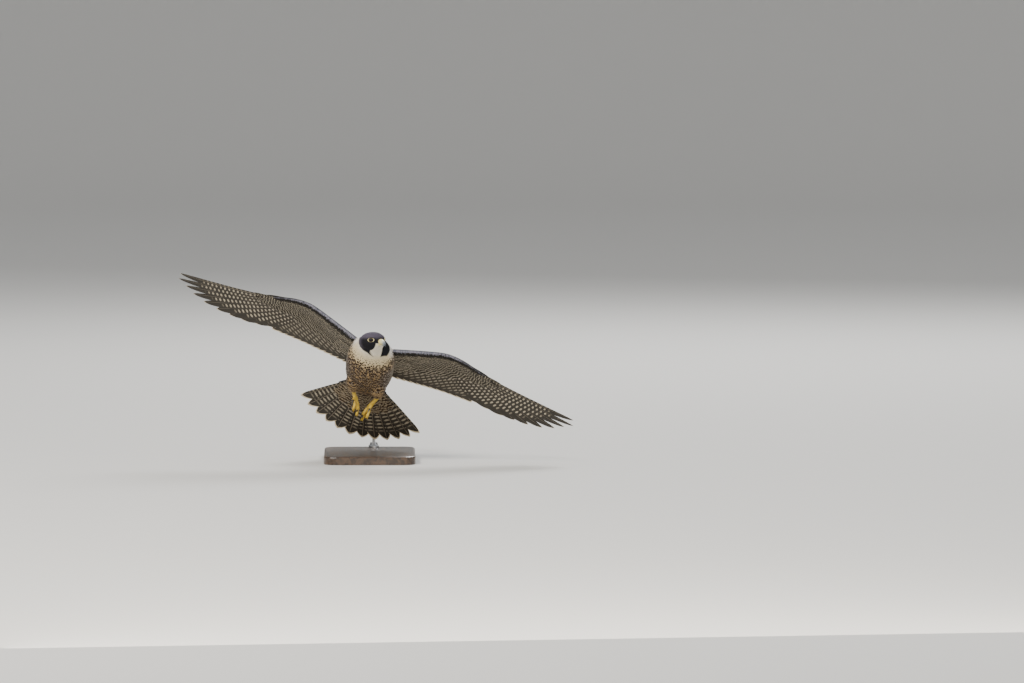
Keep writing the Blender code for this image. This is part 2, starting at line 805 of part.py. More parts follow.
def thigh(side, frame, finish, neighbours):
    hip, heel, _ = LEGS[side]
    path = [hip.lerp(heel, share) for share in (0.0, 0.3, 0.58, 0.84, 1.0)]
    body = tube(f"thigh_{side}", path, THIGH_RADII, frame, 14)
    for neighbour in neighbours:
        cut(body, grown(neighbour))
    return dress(body, finish)


def toe_path(hub, ahead, up, spread, bones, first, bend):
    """Points of a toe that curls downwards from the hub of the foot."""
    across = ahead.cross(up).normalized()
    turn = math.radians(spread)
    level = ahead * math.cos(turn) + across * math.sin(turn)
    spot, path, angle = hub, [hub], math.radians(first)
    for length in bones:
        direction = level * math.cos(angle) - up * math.sin(angle)
        spot = spot + direction * length
        path.append(spot)
        angle += math.radians(bend)
    return path, level


def foot(side, frame, skin, horn, neighbours):
    """The scaled shank and four toes in one body, and a claw for each toe."""
    _, heel, hub = LEGS[side]
    path = [heel.lerp(hub, share) for share in (-0.1, 0.15, 0.5, 0.85, 1.0)]
    body = tube(f"foot_{side}", path, TARSUS_RADII, frame, 10)
    ahead = (hub - heel).normalized()
    outward = 1 if side == "left" else -1
    up = Vector((1.0, 0.0, 0.0)).cross(ahead).normalized()
    toes = []
    for name, spread, bones, first, bend in TOES:
        points, level = toe_path(hub, ahead, up, spread * outward, bones, first, bend)
        fine = []
        radii = []
        for i in range(len(points) - 1):
            for share in (0.0, 0.5):
                fine.append(points[i].lerp(points[i + 1], share))
                swell = 1.12 if share == 0.0 else 0.92
                radii.append(TOE_RADIUS * mix(1.0, 0.80, i / len(bones)) * swell)
        fine.append(points[-1])
        radii.append(TOE_RADIUS * 0.72)
        toes.append(tube("toe", fine, radii, frame, 6))
        claw(f"claw_{side}_{name}", points, level, up, radii[-1], frame, horn)
    fuse(body, toes)
    for neighbour in neighbours:
        cut(body, grown(neighbour))
    return dress(body, skin)


def claw(name, points, level, up, root_radius, frame, horn):
    """A curved, tapering claw that starts just clear of the toe's end."""
    ahead = (points[-1] - points[-2]).normalized()
    down = (level * ahead.dot(up) - up * ahead.dot(level)).normalized()
    spot = points[-1] + ahead * GAP
    path, radii = [], []
    steps = 5
    for i in range(steps + 1):
        share = i / steps
        path.append(spot.copy())
        radii.append(root_radius * 0.86 * (1 - share) ** 0.8 + 0.00035)
        angle = math.radians(72.0) * share
        spot = spot + (ahead * math.cos(angle) + down * math.sin(angle)) * CLAW_LENGTH / steps
    return dress(tube(name, path, radii, frame, 8), horn)


# Stand

BASE_SIZE = (0.220, 0.300, 0.020)
BASE_CENTRE_Y = 0.088
BASE_CORNER = 0.030
ROD_RADIUS = 0.004
ROD_FOOT = Vector((0.010, 0.212, 0.0))
ROD_TOP_BODY = Vector((0.0, 0.030, 0.022))  # body frame, inside the back
ROD_BEND = 0.070


def stand(flight, wood, steel, back):
    half_x, half_y = BASE_SIZE[0] / 2 - BASE_CORNER, BASE_SIZE[1] / 2 - BASE_CORNER
    rings = []
    for inset, z in ((0.0015, 0.0), (0.0, 0.0015), (0.0, BASE_SIZE[2] - 0.004),
                     (0.0012, BASE_SIZE[2] - 0.0012), (0.004, BASE_SIZE[2])):
        ring = []
        for corner_x, corner_y, start in ((1, 1, 0), (-1, 1, 90), (-1, -1, 180), (1, -1, 270)):
            for i in range(7):
                angle = math.radians(start + 15 * i)
                radius = BASE_CORNER - inset
                ring.append(Vector((corner_x * half_x + radius * math.cos(angle),
                                    BASE_CENTRE_Y + corner_y * half_y + radius * math.sin(angle),
                                    z)))
        rings.append(ring)
    dress(loft("stand_base", rings, None), wood, 30.0)

    top = flight @ ROD_TOP_BODY
    foot_spot = Vector((ROD_FOOT.x, ROD_FOOT.y, BASE_SIZE[2] + GAP))
    corner = Vector((ROD_FOOT.x, ROD_FOOT.y, top.z))
    into = (top - corner).normalized()
    start, end = corner - Vector((0, 0, ROD_BEND)), corner + into * ROD_BEND
    path = [foot_spot, foot_spot.lerp(start, 0.5)]
    for i in range(9):
        share = i / 8
        path.append(start * (1 - share) ** 2 + corner * 2 * share * (1 - share) + end * share**2)
    path += [end.lerp(top, 0.5), top]
    rod = tube("stand_rod", path, [ROD_RADIUS] * len(path), None, 12)
    cut(rod, grown(back))
    dress(rod, steel)
    collar_rings = [
        section_flat(foot_spot.x, foot_spot.y, z, radius)
        for z, radius in ((0.0, 0.013), (0.004, 0.013), (0.0065, 0.0105), (0.012, 0.0085))
    ]
    collar = loft("stand_collar", collar_rings, None)
    cut(collar, grown(rod))
    dress(collar, steel)


def section_flat(x, y, height, radius, count=24):
    """A level ring on the base, at a height above its top."""
    z = BASE_SIZE[2] + GAP + height
    return [Vector((x + radius * math.cos(math.tau * i / count),
                    y + radius * math.sin(math.tau * i / count), z)) for i in range(count)]


def build():
    clear_scene()
    pose = Matrix.Translation((0.0, 0.0, BODY_HEIGHT))
    pose = pose @ Euler([math.radians(a) for a in (PITCH, BANK, HEADING)]).to_matrix().to_4x4()
    flight = empty("flight_pose", pose)
    level = Matrix.Translation(pose @ HEAD_CENTRE) @ Matrix.Rotation(math.radians(HEAD_TURN), 4, "Z")
    head_pose = empty("head_pose", level)

    pale = material("breast_feathers", (0.62, 0.55, 0.44), 0.75)
    slate = material("head_feathers", (0.10, 0.10, 0.12), 0.65)
    flight_grey = material("flight_feathers", (0.20, 0.18, 0.16), 0.6)
    yellow = material("foot_skin", (0.80, 0.55, 0.06), 0.5)
    bill_horn = material("bill_horn", (0.55, 0.56, 0.45), 0.35)
    claw_horn = material("claw_horn", (0.02, 0.02, 0.02), 0.3)
    eye_dark = material("eye", (0.02, 0.012, 0.008), 0.1)
    wood = material("stand_wood", (0.05, 0.035, 0.025), 0.4)
    steel = material("stand_steel", (0.45, 0.45, 0.46), 0.3, 1.0)

    trunk = torso(flight, pale)
    bpy.context.view_layer.update()
    head(head_pose, slate)
    eyes(head_pose, eye_dark)
    core = head_loft("head_core", head_pose)
    bill(head_pose, bill_horn, core)
    neck = neck_loft(flight)
    neck_core = neck_loft(flight)
    cut(neck, grown(core))
    dress(neck, pale)
    bpy.data.objects.remove(core)
    for side in WINGS:
        wing(side, flight, flight_grey, (trunk, neck_core))
    bpy.data.objects.remove(neck_core)
    tail(flight, flight_grey, (trunk,))
    for side in LEGS:
        leg = thigh(side, flight, pale, (trunk,))
        foot(side, flight, yellow, claw_horn, (leg,))
    stand(pose, wood, steel, trunk)


build()
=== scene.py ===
"""A life-size peregrine falcon in banking flight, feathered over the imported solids, on its stand."""

import math

import bmesh
import bpy
import numpy as np
from mathutils import Euler, Matrix, Vector
from mathutils.bvhtree import BVHTree
from mathutils.kdtree import KDTree


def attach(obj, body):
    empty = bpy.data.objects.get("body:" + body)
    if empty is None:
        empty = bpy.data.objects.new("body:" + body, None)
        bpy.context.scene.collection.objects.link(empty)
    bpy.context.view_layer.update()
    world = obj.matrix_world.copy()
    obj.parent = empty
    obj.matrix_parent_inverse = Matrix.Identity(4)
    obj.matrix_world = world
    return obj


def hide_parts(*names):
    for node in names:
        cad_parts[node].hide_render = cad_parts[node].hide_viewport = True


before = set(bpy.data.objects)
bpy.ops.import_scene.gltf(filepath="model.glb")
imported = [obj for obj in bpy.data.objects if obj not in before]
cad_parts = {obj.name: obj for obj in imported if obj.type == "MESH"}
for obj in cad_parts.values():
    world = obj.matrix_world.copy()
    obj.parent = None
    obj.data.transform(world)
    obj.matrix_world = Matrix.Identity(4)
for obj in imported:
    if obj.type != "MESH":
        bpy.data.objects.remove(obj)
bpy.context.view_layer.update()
chance = np.random.default_rng(11)


# The pose on the stand
# The bird is laid out in its body's own frame, X to its left, Y to its tail and Z to its back,
# and then turned nose up and banked to its left. The head stays level and looks to its left.
body_height = 0.228
head_centre = np.array((0.0, -0.124, -0.005))
body_pose = Matrix.Translation((0.0, 0.0, body_height))
body_pose = body_pose @ Euler([math.radians(a) for a in (-39.1, 17.5, -7.1)]).to_matrix().to_4x4()
head_pose = Matrix.Translation(body_pose @ Vector(head_centre))
head_pose = head_pose @ Matrix.Rotation(math.radians(40.0), 4, "Z")
head_in_body = body_pose.inverted() @ head_pose


def moved(matrix, points):
    """Points of shape (..., 3) carried by a matrix."""
    turn = np.array(matrix)
    return np.asarray(points) @ turn[:3, :3].T + turn[:3, 3]


def turned(matrix, directions):
    return np.asarray(directions) @ np.array(matrix)[:3, :3].T


# The camera
# A long lens a little above the bird looks down on it by four degrees, as far to its side as
# the photograph frames it.
photo_width, photo_height = 1024, 683
body_pixel = (369.5, 368)
metres_per_pixel = 1 / 417.0
look_down = math.radians(4.0)
lens, sensor = 200.0, 36.0
ahead = Vector((0.0, math.cos(look_down), -math.sin(look_down)))
upward = Vector((0.0, math.sin(look_down), math.cos(look_down)))
body_at = Vector((0.0, 0.0, body_height))
camera = bpy.data.objects.new("camera", bpy.data.cameras.new("camera"))
bpy.context.scene.collection.objects.link(camera)
camera.data.lens = lens
camera.data.sensor_width = sensor
camera.data.clip_end = 100.0
camera.location = body_at - ahead * (photo_width * metres_per_pixel * lens / sensor)
aim = body_at + Vector((1, 0, 0)) * (photo_width / 2 - body_pixel[0]) * metres_per_pixel
aim += upward * (body_pixel[1] - photo_height / 2) * metres_per_pixel
camera.rotation_euler = (aim - camera.location).to_track_quat("-Z", "Y").to_euler()
bpy.context.scene.camera = camera


# The studio
# A pale floor that curves up into a round wall, one large soft light above the camera's left,
# a weaker one at its right, a low one that lights the bird's underside and a high one behind it.


class Wire:
    """A shader socket. Arithmetic on it adds Math nodes, and node() adds any other node."""

    def __init__(self, tree, socket=None):
        self.tree = tree
        self.socket = socket

    def node(self, kind, settings, values, output=0):
        made = self.tree.nodes.new(kind)
        for name, value in settings.items():
            if name == "stops":
                points = made.color_ramp.elements
                while len(points) < len(value):
                    points.new(0.5)
                for point, (place, colour) in zip(points, value):
                    point.position = place
                    point.color = (*colour, 1.0)
            else:
                setattr(made, name, value)
        for name, value in values.items():
            if isinstance(value, Wire):
                self.tree.links.new(value.socket, made.inputs[name])
            else:
                made.inputs[name].default_value = value
        return Wire(self.tree, made.outputs[output])

    def maths(self, operation, *values):
        return self.node("ShaderNodeMath", {"operation": operation}, dict(enumerate(values)))

    def __add__(self, other):
        return self.maths("ADD", self, other)

    def __sub__(self, other):
        return self.maths("SUBTRACT", self, other)

    def __rsub__(self, other):
        return self.maths("SUBTRACT", other, self)

    def __mul__(self, other):
        return self.maths("MULTIPLY", self, other)

    def __truediv__(self, other):
        return self.maths("DIVIDE", self, other)

    def __rtruediv__(self, other):
        return self.maths("DIVIDE", other, self)

    __radd__ = __add__
    __rmul__ = __mul__

    def rises(self, low, high):
        """0 below low and 1 above high, with a soft step between them."""
        settings = {"interpolation_type": "SMOOTHSTEP"}
        return self.node("ShaderNodeMapRange", settings, {0: self, 1: low, 2: high})

    def tint(self, first, second):
        """The first colour where this is 0 and the second where it is 1."""
        def colour(value):
            return value if isinstance(value, Wire) else (*value, 1.0)
        settings = {"data_type": "RGBA"}
        values = {0: self, 6: colour(first), 7: colour(second)}
        return self.node("ShaderNodeMix", settings, values, 2)

    def noise(self, where, scale, detail=2.0, **more):
        values = {"Vector": where, "Scale": scale, "Detail": detail, **more}
        return self.node("ShaderNodeTexNoise", {}, values)

    def attribute(self, name, output=2):
        """What the mesh stores under a name: a number, or a colour for output 0."""
        return self.node("ShaderNodeAttribute", {"attribute_name": name}, {}, output)

    def place(self):
        """Where a point of the surface is, in its object's frame."""
        return self.node("ShaderNodeTexCoord", {}, {}, "Object")

    def away_from(self, spot):
        """The distance from a fixed place."""
        values = {0: self.place(), 1: tuple(spot)}
        return self.node("ShaderNodeVectorMath", {"operation": "DISTANCE"}, values, 1)


def finish(name):
    """A new material: a wire to start from, and a function that fills its surface shader."""
    made = bpy.data.materials.new(name)
    made.use_nodes = True
    start = Wire(made.node_tree)
    shader = made.node_tree.nodes["Principled BSDF"]

    def fill(values, bump=None, depth=0.0, strength=1.0):
        for socket, value in values.items():
            if isinstance(value, Wire):
                made.node_tree.links.new(value.socket, shader.inputs[socket])
            elif isinstance(value, tuple):
                shader.inputs[socket].default_value = (*value, 1.0)
            else:
                shader.inputs[socket].default_value = value
        if bump is not None:
            normal = start.node("ShaderNodeBump", {}, {
                "Height": bump, "Distance": depth, "Strength": strength})
            made.node_tree.links.new(normal.socket, shader.inputs["Normal"])
        return made

    return start, fill


def link_object(name, mesh, matrix=None):
    made = bpy.data.objects.new(name, mesh)
    bpy.context.scene.collection.objects.link(made)
    if matrix is not None:
        made.data.transform(matrix)
    return made


floor_radius, bend_radius, wall_height, floor_sides = 15.0, 5.0, 12.0, 64
floor_profile = [(floor_radius, 0.0)]
floor_profile += [(floor_radius + bend_radius * math.sin(math.radians(a)),
                   bend_radius - bend_radius * math.cos(math.radians(a)))
                  for a in range(10, 91, 8)]
floor_profile.append((floor_radius + bend_radius, wall_height))
floor_mesh = bmesh.new()
rows = []
for radius, rise in floor_profile:
    rows.append([floor_mesh.verts.new((radius * math.cos(math.tau * i / floor_sides),
                                       radius * math.sin(math.tau * i / floor_sides), rise))
                 for i in range(floor_sides)])
hub = floor_mesh.verts.new((0.0, 0.0, 0.0))
for i in range(floor_sides):
    following = (i + 1) % floor_sides
    floor_mesh.faces.new((hub, rows[0][i], rows[0][following]))
    for low, high in zip(rows, rows[1:]):
        floor_mesh.faces.new((low[i], high[i], high[following], low[following]))
studio_mesh = bpy.data.meshes.new("studio_floor")
floor_mesh.to_mesh(studio_mesh)
floor_mesh.free()
studio_mesh.shade_smooth()
studio = link_object("studio_floor", studio_mesh)
wire, fill = finish("studio_paper")
grain = wire.node("ShaderNodeTexNoise", {}, {"Scale": 0.7, "Detail": 2.0})
paper = grain.tint((0.70, 0.69, 0.66), (0.74, 0.73, 0.70))
studio_mesh.materials.append(fill({"Base Color": paper, "Roughness": 0.85}))

for name, place, size, watts, colour in (
    ("key", (-3.4, -4.4, 5.2), 2.2, 560.0, (1.0, 0.96, 0.90)),
    ("fill", (4.4, -4.0, 2.2), 3.4, 70.0, (0.93, 0.96, 1.0)),
    ("under", (0.4, -3.6, 0.35), 2.2, 38.0, (1.0, 0.93, 0.82)),
    ("back", (1.6, 4.6, 4.2), 2.8, 260.0, (1.0, 1.0, 1.0)),
):
    lamp = bpy.data.lights.new(name, "AREA")
    lamp.shape = "DISK"
    lamp.size = size
    lamp.energy = watts
    lamp.color = colour
    light = bpy.data.objects.new(name, lamp)
    bpy.context.scene.collection.objects.link(light)
    light.location = place
    light.rotation_euler = (body_at - Vector(place)).to_track_quat("-Z", "Y").to_euler()
world = bpy.data.worlds.new("studio_air")
bpy.context.scene.world = world
world.use_nodes = True
world.node_tree.nodes["Background"].inputs["Color"].default_value = (0.86, 0.88, 0.92, 1.0)
world.node_tree.nodes["Background"].inputs["Strength"].default_value = 0.55


# The stand
# A flat wooden base with eased edges, a brushed steel rod that rises behind the tail and bends
# into the back, and the turned collar that holds the rod.
wire, fill = finish("dark_stained_wood")
stretch = {"Vector": wire.place(), "Scale": (60.0, 5.0, 60.0)}
stretched = wire.node("ShaderNodeMapping", {}, stretch)
figure = wire.noise(stretched, 1.6, 7.0, Distortion=0.8)
pores = wire.noise(stretched, 9.0, 3.0)
stained = figure.rises(0.35, 0.65).tint((0.030, 0.017, 0.010), (0.085, 0.048, 0.026))
wood = fill({"Base Color": pores.rises(0.62, 0.72).tint(stained, (0.012, 0.008, 0.006)),
             "Roughness": figure * 0.15 + 0.26, "Coat Weight": 0.3, "Coat Roughness": 0.2},
            pores, 0.0003, 0.5)
wire, fill = finish("brushed_rod_steel")
stretch = {"Vector": wire.place(), "Scale": (900.0, 900.0, 60.0)}
brushed = wire.noise(wire.node("ShaderNodeMapping", {}, stretch), 1.0, 3.0)
steel = fill({"Base Color": brushed.tint((0.42, 0.42, 0.43), (0.55, 0.55, 0.55)), "Metallic": 1.0,
              "Roughness": brushed * 0.2 + 0.22}, brushed, 0.0001, 0.4)
for name, cover in (("stand_base", wood), ("stand_rod", steel), ("stand_collar", steel)):
    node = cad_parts[name]
    node.data.materials.clear()
    node.data.materials.append(cover)


# The skin under the feathers
# One closed skin runs over head, neck, trunk, thighs, the flesh of both wings and the root of
# the tail, as taxidermists shape a form, and is a feather's depth slimmer than the plumage.
body_half_width, body_rise, body_depth = 0.059, 0.040, 0.051
torso_front = -0.088
torso_rows = np.array((
    (-0.088, 0.80, 0.88, 0.78), (-0.070, 0.92, 0.96, 0.90), (-0.045, 1.00, 1.00, 0.98),
    (-0.015, 1.00, 1.00, 1.00), (0.015, 0.97, 0.97, 0.97), (0.045, 0.87, 0.82, 0.82),
    (0.070, 0.72, 0.62, 0.60), (0.090, 0.57, 0.43, 0.40), (0.100, 0.47, 0.32, 0.28),
    (0.106, 0.36, 0.22, 0.18)))
head_half_width = 0.0285
head_rows = np.array((
    (0.0360, 0.26, 0.0065, 0.0090), (0.0325, 0.55, 0.0125, 0.0155),
    (0.0260, 0.82, 0.0175, 0.0205), (0.0150, 0.98, 0.0214, 0.0235),
    (0.0040, 1.00, 0.0228, 0.0240), (-0.0050, 0.95, 0.0230, 0.0235),
    (-0.0120, 0.86, 0.0218, 0.0218), (-0.0175, 0.735, 0.0190, 0.0190),
    (-0.0215, 0.573, 0.0152, 0.0158), (-0.0245, 0.42, 0.0115, 0.0122),
    (-0.0262, 0.325, 0.0085, 0.0092)))
neck_rows = np.array((
    (0.00, 0.0472, 0.0352, 0.0398), (0.30, 0.0440, 0.0330, 0.0370),
    (0.62, 0.0375, 0.0285, 0.0325), (1.00, 0.0240, 0.0195, 0.0230)))
coat_depth, face_coat_depth, thigh_coat_depth, wing_coat_depth = 0.0016, 0.0010, 0.0012, 0.0011
skin_voxel = 0.0017


def between(first, last, share):
    return first + (last - first) * share


def softened(values, rounds):
    """Values evened out in place along their first axis, with both ends kept."""
    for _ in range(rounds):
        values[1:-1] = (values[:-2] + 2 * values[1:-1] + values[2:]) / 4
    return values


def eased(rows, count):
    """Rows of a table, resampled at even steps and softened, for a smooth loft."""
    rows = rows[np.argsort(rows[:, 0])]
    at = np.linspace(rows[0, 0], rows[-1, 0], count)
    columns = [at]
    for column in rows.T[1:]:
        columns.append(softened(np.interp(at, rows[:, 0], column), 3))
    return np.array(columns).T


def tube_rings(centres, across, up, wide, rise, deep, count=36):
    """Egg-shaped rings round centres: wide to each side, rise upwards and deep downwards."""
    angle = np.linspace(0, math.tau, count, endpoint=False)
    side, high = np.cos(angle), np.sin(angle)
    reach = np.where(high[None, :] > 0, rise[:, None], deep[:, None]) * high
    return (centres[:, None, :] + across[:, None, :] * (wide[:, None] * side)[..., None]
            + up[:, None, :] * reach[..., None])


def add_loft(work, rings):
    """Adds a closed loft through rings of points to a bmesh."""
    made = [[work.verts.new(p) for p in ring] for ring in rings]
    count = len(made[0])
    for low, high in zip(made, made[1:]):
        for i in range(count):
            work.faces.new((low[i], low[(i + 1) % count], high[(i + 1) % count], high[i]))
    work.faces.new(made[0])
    work.faces.new(made[-1])


def steady(count, vector):
    return np.tile(np.array(vector, float), (count, 1))


def mesh_of(work, name):
    """The smooth mesh of a bmesh whose faces are turned outwards first."""
    bmesh.ops.recalc_face_normals(work, faces=work.faces)
    made = bpy.data.meshes.new(name)
    work.to_mesh(made)
    work.free()
    made.shade_smooth()
    return made


def fused(name, work, voxel, rounds):
    """An object of one closed, softened skin over all the lofts of a bmesh."""
    made = link_object(name, mesh_of(work, name))
    remesh = made.modifiers.new("one_skin", "REMESH")
    remesh.mode = "VOXEL"
    remesh.voxel_size = voxel
    soften = made.modifiers.new("soften", "SMOOTH")
    soften.factor = 0.5
    soften.iterations = rounds
    bpy.context.view_layer.update()
    seen = made.evaluated_get(bpy.context.evaluated_depsgraph_get())
    whole = bpy.data.meshes.new_from_object(seen)
    made.modifiers.clear()
    made.data = whole
    return made


def vertex_vectors(mesh, what="co"):
    """Each vertex's place, or its normal."""
    flat = np.zeros(len(mesh.vertices) * 3)
    mesh.vertices.foreach_get(what, flat)
    return flat.reshape(-1, 3)


wing_layout = {
    # side: mirror sign, wrist along Y, sweep and twist of the hand in degrees, arm's, hand's rise
    "left": (1, -0.120, 21.0, 1.2, 0.146, -0.033),
    "right": (-1, -0.132, 19.5, 1.9, 0.212, 0.066),
}
wrist_out = 0.178
shoulder_x, shoulder_y = 0.048, -0.086
flesh_at = np.array((0.030, 0.0744, 0.126, 0.178, 0.207, 0.245, 0.279, 0.340, 0.430))
flesh_chord = np.array((0.072, 0.066, 0.054, 0.040, 0.034, 0.026, 0.014, 0.008, 0.004))
flesh_half = np.array((0.0105, 0.0094, 0.0076, 0.0064, 0.0056, 0.0044, 0.0034, 0.0022, 0.0016))
flesh_rear = 0.0026


class WingPlan:
    """Places points of a wing, given in plan, on its bent, twisted and cambered surface."""

    def __init__(self, side):
        self.sign, wrist_y, sweep, twist, self.arm_rise, self.hand_rise = wing_layout[side]
        turn = math.radians(sweep)
        self.slope = math.tan(turn)
        self.drop = math.tan(math.radians(twist))
        self.wrist = np.array((wrist_out, wrist_y))
        self.along = np.array((math.cos(turn), math.sin(turn)))
        self.back = np.array((-math.sin(turn), math.cos(turn)))

    def hand(self, distance, behind):
        return self.wrist + self.along * distance + self.back * behind

    def front(self, x):
        """Y of the leading edge at X, bent softly at the wrist."""
        inner_slope = (self.wrist[1] - shoulder_y) / (wrist_out - shoulder_x)
        arm = shoulder_y + inner_slope * (x - shoulder_x)
        hand = self.wrist[1] + self.slope * (x - wrist_out)
        return (arm + hand + np.hypot(arm - hand, 0.014)) / 2

    def edge(self, x):
        """Y of the front of the flesh, which falls behind the leading edge out on the hand."""
        share = np.clip((x - 0.200) / 0.110, 0, 1)
        return self.front(x) + 0.0095 * share * share * (3 - 2 * share)

    def height(self, plan):
        x, y = plan[..., 0], plan[..., 1]
        bend = ((x - wrist_out) - np.hypot(x - wrist_out, 0.030)) / 2
        level = 0.015 + self.arm_rise * (wrist_out - 0.050) + self.hand_rise * (x - wrist_out)
        level = level + (self.arm_rise - self.hand_rise) * bend
        reach = (plan - self.wrist) @ self.along
        level = level + 0.006 * (np.clip(reach - 0.130, 0, None) / 0.210) ** 2
        share = np.clip((x - 0.20) / 0.26, 0, 1)
        chord = 0.150 - 0.060 * share * share * (3 - 2 * share)
        behind = y - self.front(x)
        share = np.clip(behind / chord, 0, 1)
        return level + 0.10 * chord * share * (1 - share) - self.drop * behind

    def thickness(self, plan):
        """Half the flesh's thickness over a point in plan, thin where there is none."""
        x = plan[..., 0]
        behind = np.clip(plan[..., 1] - self.edge(x), 0.0, None)
        behind = behind * np.where(x > wrist_out, self.along[0], 1.0)
        chord = np.interp(x, flesh_at, flesh_chord)
        half = np.interp(x, flesh_at, flesh_half)
        share = np.clip(behind / chord, 0.0, 1.0)
        full = flesh_rear * np.minimum(1.0, np.sqrt(share / 0.2))
        full = full + (half - flesh_rear).clip(0) * np.sin(math.pi * share**0.62)
        beyond = np.clip((behind - chord) / 0.014, 0.0, 1.0)
        return full + (0.0014 - flesh_rear) * beyond * np.minimum(1.0, half / flesh_rear)

    def place(self, plan, level=0.0):
        return np.stack([plan[..., 0] * self.sign, plan[..., 1], self.height(plan) + level], -1)


wings = {side: WingPlan(side) for side in wing_layout}
work = bmesh.new()
torso_line = eased(torso_rows, 40)
n = len(torso_line)
centres = np.stack([np.zeros(n), torso_line[:, 0], np.zeros(n)], 1)
add_loft(work, tube_rings(centres, steady(n, (1, 0, 0)), steady(n, (0, 0, 1)),
                          torso_line[:, 1] * body_half_width - coat_depth,
                          torso_line[:, 2] * body_rise - coat_depth,
                          torso_line[:, 3] * body_depth - coat_depth))
neck_line = eased(neck_rows, 16)
n = len(neck_line)
centres = np.array((0.0, torso_front + 0.006, 0.0)) * (1 - neck_line[:, :1])
centres = centres + head_centre * neck_line[:, :1]
add_loft(work, tube_rings(centres, steady(n, (1, 0, 0)), steady(n, (0, 0, 1)),
                          *(neck_line[:, i] - coat_depth for i in (1, 2, 3))))
head_line = eased(head_rows, 32)
n = len(head_line)
centres = np.stack([np.zeros(n), head_line[:, 0], np.zeros(n)], 1)
head_rings = tube_rings(centres, steady(n, (1, 0, 0)), steady(n, (0, 0, 1)),
                        head_line[:, 1] * head_half_width - face_coat_depth,
                        head_line[:, 2] - face_coat_depth, head_line[:, 3] - face_coat_depth)
add_loft(work, moved(head_in_body, head_rings))
brow_half_size = (0.0030, 0.0112, 0.0021)
for sign in (-1, 1):
    ball = bmesh.ops.create_uvsphere(work, u_segments=20, v_segments=12, radius=1.0)
    brow = Matrix.Translation((sign * 0.0190, -0.0098, 0.0118))
    brow = head_in_body @ brow @ Matrix.Rotation(math.radians(-25.0 * sign), 4, "Z")
    brow = brow @ Matrix.Diagonal((*brow_half_size, 1.0))
    bmesh.ops.transform(work, matrix=brow, verts=ball["verts"])
legs = {
    # side: hip, heel and the hub of the foot, in the body's frame
    "left": np.array(((0.030, 0.015, -0.026), (0.0385, 0.046, -0.0435),
                      (0.0255, 0.079, -0.0520))),
    "right": np.array(((-0.027, 0.014, -0.026), (-0.0215, 0.046, -0.0475),
                       (-0.0105, 0.064, -0.0550))),
}
thigh_radii = np.array((0.018, 0.0210, 0.0182, 0.0125, 0.0070))
for hip, heel, _ in legs.values():
    share = np.linspace(0, 1, 12)[:, None]
    radii = np.interp(share[:, 0], (0.0, 0.3, 0.58, 0.84, 1.0), thigh_radii) - thigh_coat_depth
    run = (heel - hip) / np.linalg.norm(heel - hip)
    side = np.cross(run, (0, 0, 1.0))
    side /= np.linalg.norm(side)
    up = np.cross(side, run)
    add_loft(work, tube_rings(hip + (heel - hip) * share, steady(12, side), steady(12, up),
                              radii, radii, radii))
tail_apex, tail_droop = 0.033, math.tan(math.radians(10.0))
tail_half_fan, muscle_half_fan = 48.0, 46.0


def on_tail(distance, degrees, level):
    """A point of the fanned tail, from its distance and angle from the point where it hinges."""
    angle = np.radians(degrees)
    y = distance * np.cos(angle)
    return np.stack([distance * np.sin(angle), y + tail_apex, level - tail_droop * y], -1)


rings = []
for distance, thick in zip(np.linspace(0.040, 0.096, 9), np.linspace(0.0136, 0.0032, 9)):
    turn = np.linspace(-1, 1, 17)
    half = between(thick, 0.0028, turn**2)
    rings.append(np.concatenate([on_tail(distance, turn * muscle_half_fan, half),
                                 on_tail(distance, turn * muscle_half_fan, -half)[::-1]]))
add_loft(work, rings)
for plan in wings.values():
    rings = []
    for x in np.linspace(0.020, 0.288, 44):
        chord = float(np.interp(x, flesh_at, flesh_chord))
        steps = np.array((0.0, 0.02, 0.06, 0.13, 0.25, 0.4, 0.6, 0.8, 1.0)) * chord
        line = np.stack([np.full(len(steps), x), plan.edge(x) + steps], 1)
        thick = np.clip(plan.thickness(line) - wing_coat_depth, 0.0006, None)
        thick[0] = 0.0006
        rings.append(np.concatenate([plan.place(line, thick), plan.place(line, -thick)[::-1]]))
    add_loft(work, rings)
skin = fused("skin", work, skin_voxel, 6)
smooth_skin = skin.data
skin_points = vertex_vectors(smooth_skin)
skin_tree = BVHTree.FromPolygons([tuple(p) for p in skin_points],
                                 [tuple(f.vertices) for f in smooth_skin.polygons])


# Where the colours and the kinds of feather lie on the skin
# A dark hood with a pointed moustache and a slate cap with a painted purple sheen, white cheeks and
# neck sides, a cream bib, brown spots that close up into bars on belly and thighs, and a slate back.
slate = np.array((0.056, 0.060, 0.076))
cap_painted_sheen_plum = np.array((0.085, 0.073, 0.100))
ink = np.array((0.009, 0.0085, 0.011))
white = np.array((0.74, 0.71, 0.66))
cream = np.array((0.64, 0.54, 0.34))
buff = np.array((0.345, 0.228, 0.106))
umber = np.array((0.026, 0.015, 0.009))
brown_grey = np.array((0.085, 0.074, 0.058))
pale_bar = np.array((0.52, 0.45, 0.33))
eye_places = {side: np.array((sign * 0.0169, -0.0124, 0.0048))
              for side, sign in (("left", 1), ("right", -1))}
eye_radius = 0.0074
hood_edge = np.array((
    # along the head, back from the bill: height of the hood's lower edge
    (-0.0260, -0.003), (-0.0225, -0.008), (-0.0195, -0.023), (-0.0140, -0.0330),
    (-0.0080, -0.0380), (-0.0010, -0.0370), (0.0050, -0.0270), (0.0160, -0.0195),
    (0.0260, -0.0110), (0.0320, -0.0030), (0.0400, 0.0060)))


def rising(value, low, high):
    share = np.clip((value - low) / (high - low), 0, 1)
    return share * share * (3 - 2 * share)


def blended(first, second, share):
    share = np.asarray(share)[..., None]
    return first * (1 - share) + second * share


